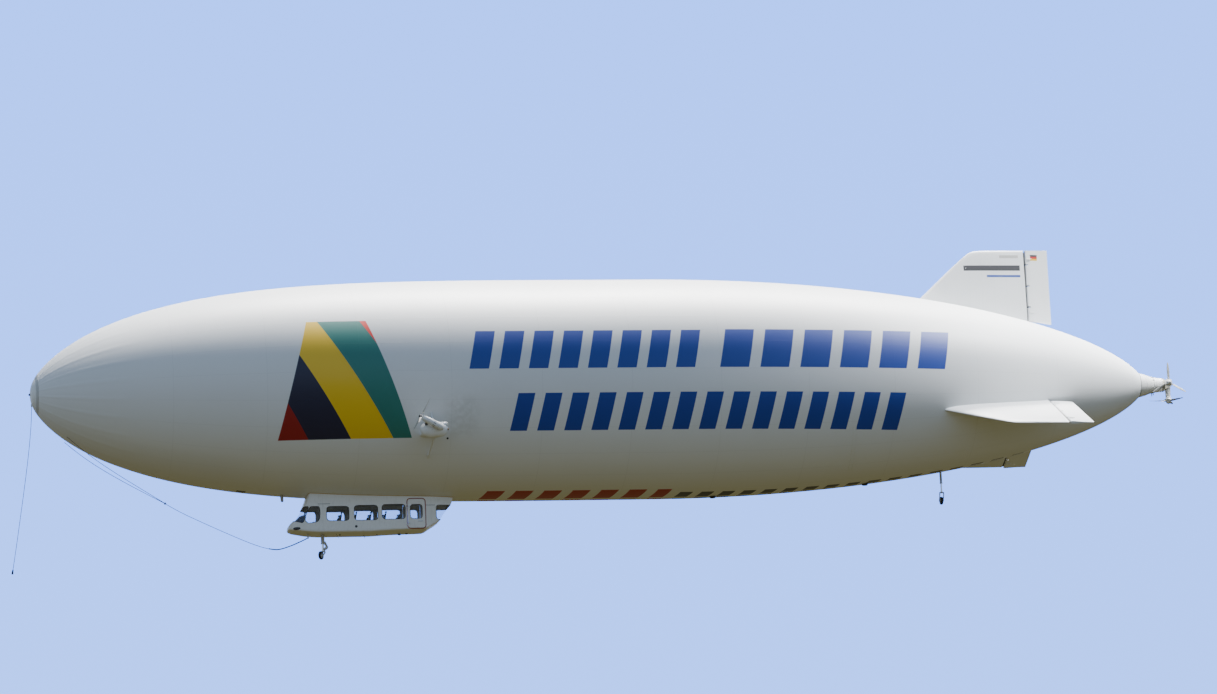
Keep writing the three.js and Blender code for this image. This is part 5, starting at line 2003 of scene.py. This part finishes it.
@dataclass
class Cabin:
    """The seats with their pads and frames, and the pilots' console."""

    rows: int = 5
    first_row: float = 9500.0
    pitch: float = 470.0
    seat_out: float = 330.0
    pilot_station: float = 8890.0
    pilot_out: float = 270.0
    floor: float = -4480.0
    # The cushions' cloth: voxel and cap in metres, slack in millimetres.
    voxel: float = 0.006
    cap: float = 0.008
    slack: float = 6.0
    pressure: float = 4.0
    frames: int = 20
    screens: tuple[float, ...] = (-210, -70, 70, 210)

    def pad(self, low: Point, high: Point, crown: float) -> Shape:
        """A crowned cushion that fills a box, with sides that pull in between its corners.

        Args:
            low: the box's lowest corner.
            high: its highest corner.
            crown: how much higher its middle is than its edges, as a share.

        Returns:
            The cushion.
        """
        middle, half = (Vector(low) + Vector(high)) / 2, (Vector(high) - Vector(low)) / 2
        count, sides = 12, 32
        rings = []
        for level in range(count + 1):
            lift = -cos(pi * level / count)
            full = sqrt(max(0.0, 1 - abs(lift) ** 3.2))
            points = []
            for angle in turns(sides):
                across = copysign(abs(cos(angle)) ** 0.38, cos(angle))
                along = copysign(abs(sin(angle)) ** 0.38, sin(angle))
                pull = 1 - 0.03 * (1 - abs(across * along))
                size = (0.25 + 0.75 * full) * pull if abs(lift) < 1 else 0.02
                swell = 1 + crown * (1 - across ** 2) * (1 - along ** 2)
                points.append((
                    middle.x + across * half.x * size, middle.y + along * half.y * size,
                    middle.z + lift * half.z * swell / (1 + crown),
                ))
            rings.append(points)
        return loft(rings)

    def blown(self, core: Shape) -> Shape:
        """Blows a cushion's core up as cloth.

        Args:
            core: the closed core, in millimetres.

        Returns:
            The cushion, no point of which has moved further than the cap.
        """
        draft = bare_object(core)
        draft.data.transform(Matrix.Scale(MILLIMETRE, 4))
        remesh = draft.modifiers.new("Remesh", "REMESH")
        remesh.mode = "VOXEL"
        remesh.voxel_size = self.voxel
        even = bpy.data.meshes.new_from_object(draft.evaluated_get(bpy.context.evaluated_depsgraph_get()))
        draft.modifiers.clear()
        draft.data = even
        cloth = draft.modifiers.new("Cloth", "CLOTH")
        cloth.settings.use_pressure = True
        cloth.settings.uniform_pressure_force = self.pressure
        cloth.settings.effector_weights.gravity = 0.0
        for number in range(1, self.frames + 1):
            bpy.context.scene.frame_set(number)
        evaluated = draft.evaluated_get(bpy.context.evaluated_depsgraph_get())
        swollen = [vertex.co.copy() for vertex in evaluated.to_mesh().vertices]
        evaluated.to_mesh_clear()
        bpy.context.scene.frame_set(1)
        points = []
        for vertex, after in zip(even.vertices, swollen):
            move = after - vertex.co
            share = min(1.0, self.cap / max(move.length, 1e-9))
            points.append((vertex.co + move * share) / MILLIMETRE)
        faces = [tuple(face.vertices) for face in even.polygons]
        bpy.data.objects.remove(draft)
        LOG.info("cushion blown up: %d points", len(points))
        return Shape(points, faces)

    def cushion(self, low: Point, high: Point, crown: float) -> Shape:
        inset = Vector((self.slack, self.slack, self.slack))
        return self.blown(self.pad(Vector(low) + inset, Vector(high) - inset, crown))

    @cached_property
    def pads(self) -> dict[str, Shape]:
        """The three pads of a seat that stands at station nought on the floor."""
        lean = Matrix.Translation((168, 0, 290)) @ spun(14, "Y")
        return {
            "cushion": self.cushion((-108, -112, 192), (168, 112, 268), 0.25),
            "back": self.cushion((-30, -108, -40), (26, 108, 208), 0.0).moved(lean),
            "headrest": self.cushion((-26, -66, 216), (22, 66, 286), 0.0).moved(lean),
        }

    def frame_of(self, station: float, y: float) -> Shape:
        """The pedestal, pan and back frame of one seat."""
        base = self.floor
        pan = block((station - 100, y - 104, base + 176), (station + 176, y + 104, base + 190))
        post = block((station - 40, y - 60, base + 16), (station + 150, y + 60, base + 178))
        bars = [
            rod((station + 176, out, base + 186), (station + 246, out, base + 560), 8, sides=12)
            for out in (y - 100, y + 100)
        ]
        return together([pan, post, *bars])

    def build(self) -> None:
        """Builds the seats and the console."""
        places = [
            (f"seat_{row + 1}_{side.label}", self.first_row + row * self.pitch, side.value * self.seat_out)
            for row in range(self.rows) for side in Side
        ]
        pilots = [
            (f"pilot_seat_{side.label}", self.pilot_station, side.value * self.pilot_out) for side in Side
        ]
        for node, group in (("passenger_seats", places), ("pilot_seats", pilots)):
            for name, station, y in group:
                place = Matrix.Translation((station, y, self.floor))
                for part, shape in self.pads.items():
                    pad = build(f"{name}_{part}", shape.moved(place), SEAT)
            frames = together(self.frame_of(station, y) for _, station, y in group)
            build(f"{node}_frames", frames, DARK, node=node, bevel=3)
        redress(DARK, "instrument_console")
        screens = together(block((8446, y - 58, -4300), (8472, y + 58, -4224)) for y in self.screens)
        build("console_screens", screens, SOFT_BLACK, bevel=3)


# Landing gear


@dataclass
class Gear:
    """One leg with its castering fork and its wheel."""

    name: str
    station: float
    leg_top: float
    sleeve_end: float
    leg_end: float
    wheel_height: float
    trail: float
    radius: float
    sleeve: float
    piston: float
    foot: float
    turn: float
    width: float = 84.0
    knee: tuple[float, float] | None = None

    @property
    def swivel(self) -> Matrix:
        """The move from the fork's own frame to its place at rest."""
        return Matrix.Translation((self.station, 0, 0)) @ spun(self.turn, "Z")

    def post(self, top: float, bottom: float, radius: float, sides: int = 36, edge: float = 3.0) -> Shape:
        """A round upright part of the leg."""
        return rod((self.station, 0, top), (self.station, 0, bottom), radius, sides=sides, edge=edge)

    def leg(self) -> Shape:
        """The painted sleeve with its collars."""
        sleeve = self.post(self.leg_top + 20, self.sleeve_end, self.sleeve)
        foot = self.post(self.leg_top + 40, self.leg_top - 30, self.foot)
        return sleeve + foot + self.post(self.sleeve_end + 22, self.sleeve_end - 6, self.sleeve + 8)

    def rod_part(self) -> Shape:
        """The polished piston and its lower collar."""
        piston = self.post(self.sleeve_end + 10, self.leg_end, self.piston, 32, 2.0)
        return piston + self.post(self.leg_end + 40, self.leg_end, self.piston + 10, 32)

    def links(self) -> Shape:
        """The two pairs of links behind the leg, meeting in a knee."""
        x, (back, height) = self.station, self.knee
        knee = Vector((x + back, 0, height))
        shapes = [rod((knee.x, -70, knee.z), (knee.x, 70, knee.z), 26, sides=20)]
        upper = ((x + self.sleeve - 8, 0, self.sleeve_end + 62), 36)
        lower = ((x + self.piston - 4, 0, self.leg_end + 46), 48)
        for start, thick in (upper, lower):
            for out in (Vector((0, -34, 0)), Vector((0, 34, 0))):
                shapes.append(rod(Vector(start) + out, knee + out, thick, thick * 0.85, 16))
        return together(shapes)

    def fork(self) -> Shape:
        """The fork's crown and arms."""
        end, wheel, trail = self.leg_end, self.wheel_height, self.trail
        crown = slab(rounded(rectangle(-46, 46, -74, 74), 18), Plane.PLAN, end - 34, end - 6)
        outline = rounded([
            (-40, end - 10), (40, end - 10), (40, end - 60), (-trail + 30, wheel - 20), (-trail, wheel - 34),
            (-trail - 30, wheel - 20), (-trail - 30, wheel + 20), (-40, end - 70),
        ], 16)
        arms = slab(outline, Plane.SIDE, -74, -54) + slab(outline, Plane.SIDE, 54, 74)
        axle = rod((-trail, -82, wheel), (-trail, 82, wheel), 13, sides=20)
        return (crown + arms + axle).moved(self.swivel)

    def wheel_part(self, rows: Rows, sides: int, endless: bool = False) -> Shape:
        """A part of the wheel, turned about its axle and set into the fork.

        Args:
            rows: distance from the wheel's middle and radius, both as shares of the wheel's.
            sides: points of each ring.
            endless: whether the last row joins the first.

        Returns:
            The part in its place.
        """
        sized = [(along * self.width / 2, radius * self.radius) for along, radius in rows]
        place = self.swivel @ Matrix.Translation((-self.trail, 0, self.wheel_height)) @ spun(90, "Z")
        return lathe(sized, sides, endless).moved(place)

    def tyre(self) -> Shape:
        """The tyre with its grooved tread."""
        left = [(-0.72, 0.56), (-0.96, 0.64), (-1, 0.74), (-0.93, 0.86), (-0.72, 0.945), (-0.5, 0.98)]
        tread = [
            (groove + edge, deep) for groove in (-0.36, 0, 0.36)
            for edge, deep in ((-0.09, 0.995), (-0.05, 0.965), (0.05, 0.965), (0.09, 0.995))
        ]
        right = [(-along, radius) for along, radius in left[::-1]]
        return self.wheel_part([*left, *tread, *right], 72, endless=True)

    def rim(self) -> Shape:
        """The rim, its dished faces and its hub caps."""
        half, radius = self.width / 2, self.radius
        left = [
            (-44 / half, 0), (-44 / half, 20 / radius), (-36 / half, 24 / radius), (-0.35, 0.3), (-0.45, 0.5),
            (-0.8, 0.55), (-0.8, 0.6),
        ]
        return self.wheel_part([*left, *[(-along, reach) for along, reach in left[::-1]]], 56)

    def build(self) -> None:
        """Builds the gear."""
        name, fork, wheel = self.name, f"{self.name}_fork", f"{self.name}_wheel"
        build(f"{name}_leg_sleeve", self.leg(), GREY, node=f"{name}_leg")
        build(f"{name}_leg_piston", self.rod_part(), PISTON)
        if self.knee:
            build(f"{name}_leg_links", self.links(), GREY)
        build(f"{name}_fork_arms", self.fork(), GREY, fork, fork)
        build(f"{name}_tyre", self.tyre(), TYRE, wheel, wheel)
        build(f"{name}_rim", self.rim(), METAL, wheel)


# Stage


@dataclass
class Stage:
    """The pale floor, two soft lamps, and the surroundings with a plain pale backdrop."""

    floor_height: float = -28.1
    floor_radius: float = 1100.0
    light_power: float = 5400.0
    light_size: tuple[float, float] = (40.0, 8.6)
    light_place: Point = (4.2, 2.3, 12.5)
    light_lean: float = 11.0
    light_rake: float = 11.0
    light_spread: float = 34.0
    light_colour: Colour = (1.0, 0.97, 0.93)
    tail_power: float = 2000.0
    tail_size: float = 9.0
    tail_spread: float = 46.0
    tail_place: Point = (26.0, -10.0, 24.0)
    tail_aim: Point = (17.5, -1.0, 1.0)
    # Places from straight down to straight up with the colours of the light, and of the backdrop.
    light_stops: tuple[tuple[float, Colour], ...] = (
        (0.0, (0.15, 0.135, 0.062)), (1.0, (0.12, 0.18, 0.30)), (0.49, (0.155, 0.14, 0.072)),
        (0.51, (0.60, 0.70, 0.84)), (0.66, (0.44, 0.62, 0.92)),
    )
    backdrop_stops: tuple[tuple[float, Colour], ...] = ((0.5, (0.62, 1.2, 3.2)), (0.75, (0.3, 0.95, 4.0)))

    def floor(self) -> None:
        """Lays the floor, which is seen but throws no light back on the ship."""
        mesh = bpy.data.meshes.new("floor")
        edit = bmesh.new()
        bmesh.ops.create_circle(edit, cap_ends=True, segments=96, radius=self.floor_radius)
        edit.to_mesh(mesh)
        edit.free()
        mesh.materials.append(GROUND.material())
        floor = bpy.data.objects.new("floor", mesh)
        floor.location.z = self.floor_height
        floor.visible_diffuse = False
        floor.visible_glossy = False
        bpy.context.collection.objects.link(floor)

    def lamp(self, name: str, shape: str, power: float, spread: float, place: Point) -> bpy.types.Object:
        """Hangs one soft lamp, which isn't seen itself.

        Args:
            name: the lamp's name.
            shape: the shape of its face.
            power: its power in watts.
            spread: the angle that its light spreads over.
            place: where it hangs, in metres.

        Returns:
            The lamp.
        """
        data = bpy.data.lights.new(name, "AREA")
        data.shape = shape
        data.energy = power
        data.spread = radians(spread)
        lamp = bpy.data.objects.new(name, data)
        lamp.location = place
        lamp.visible_camera = False
        bpy.context.collection.objects.link(lamp)
        return lamp

    def lamps(self) -> None:
        """Hangs a wide lamp over the ship, and a round one behind its tail on the port side."""
        wide = self.lamp("overhead", "ELLIPSE", self.light_power, self.light_spread, self.light_place)
        wide.data.size, wide.data.size_y = self.light_size
        wide.data.color = self.light_colour
        wide.rotation_euler = (radians(-self.light_lean), radians(self.light_rake), 0)
        tail = self.lamp("tail_light", "DISK", self.tail_power, self.tail_spread, self.tail_place)
        tail.data.size = self.tail_size
        aim = Vector(self.tail_aim) - Vector(self.tail_place)
        tail.rotation_euler = aim.to_track_quat("-Z", "Y").to_euler()

    def surroundings(self) -> None:
        """Lights the scene from all round, palest at the horizon, before a plain pale backdrop."""
        world = bpy.data.worlds.new("surroundings")
        bpy.context.scene.world = world
        world.use_nodes = True
        sheet = Sheet(world.node_tree, "ShaderNodeBackground", "ShaderNodeOutputWorld")
        place = sheet.node("ShaderNodeTexCoord").outputs["Generated"]
        height = sheet.node("ShaderNodeSeparateXYZ", inputs={0: place}).outputs[2]
        spread = sheet.node("ShaderNodeMapRange", inputs={0: height, 1: -1.0}).outputs[0]
        light, backdrop = (
            sheet.node("ShaderNodeValToRGB", {"stops": stops}, {0: spread}).outputs[0]
            for stops in (self.light_stops, self.backdrop_stops)
        )
        seen = sheet.node("ShaderNodeLightPath").outputs["Is Camera Ray"]
        sheet.dress(color=sheet.mix(seen, light, backdrop))

    def build(self) -> None:
        """Sets the stage."""
        self.floor()
        self.lamps()
        self.surroundings()


def main() -> None:
    """Builds the airship's looks in order."""
    logging.basicConfig(level=logging.INFO, format="%(message)s")
    CameraRig().build()
    Lines().build()
    hull = Hull()
    hull.build()
    surfaces = [TailSurface("top", 0.0), TailSurface("port", 115.6), TailSurface("starboard", -115.6)]
    for surface in surfaces:
        surface.build()
    TopMarks().build(surfaces[0])
    for side in Side:
        SideDrive(side).build()
    SternDrive().build()
    Gondola(hull=hull).build()
    Cabin().build()
    Gear(
        "front", station=9150, leg_top=-4587, sleeve_end=-4875, leg_end=-5108, wheel_height=-5260, trail=150,
        radius=135, sleeve=58, piston=36, foot=72, turn=56, knee=(138, -4985),
    ).build()
    Gear(
        "rear", station=29400, leg_top=-2700, sleeve_end=-3184, leg_end=-3470, wheel_height=-3740, trail=90,
        radius=130, sleeve=40, piston=26, foot=62, turn=-90,
    ).build()
    Stage().build()


if __name__ == "__main__":
    main()
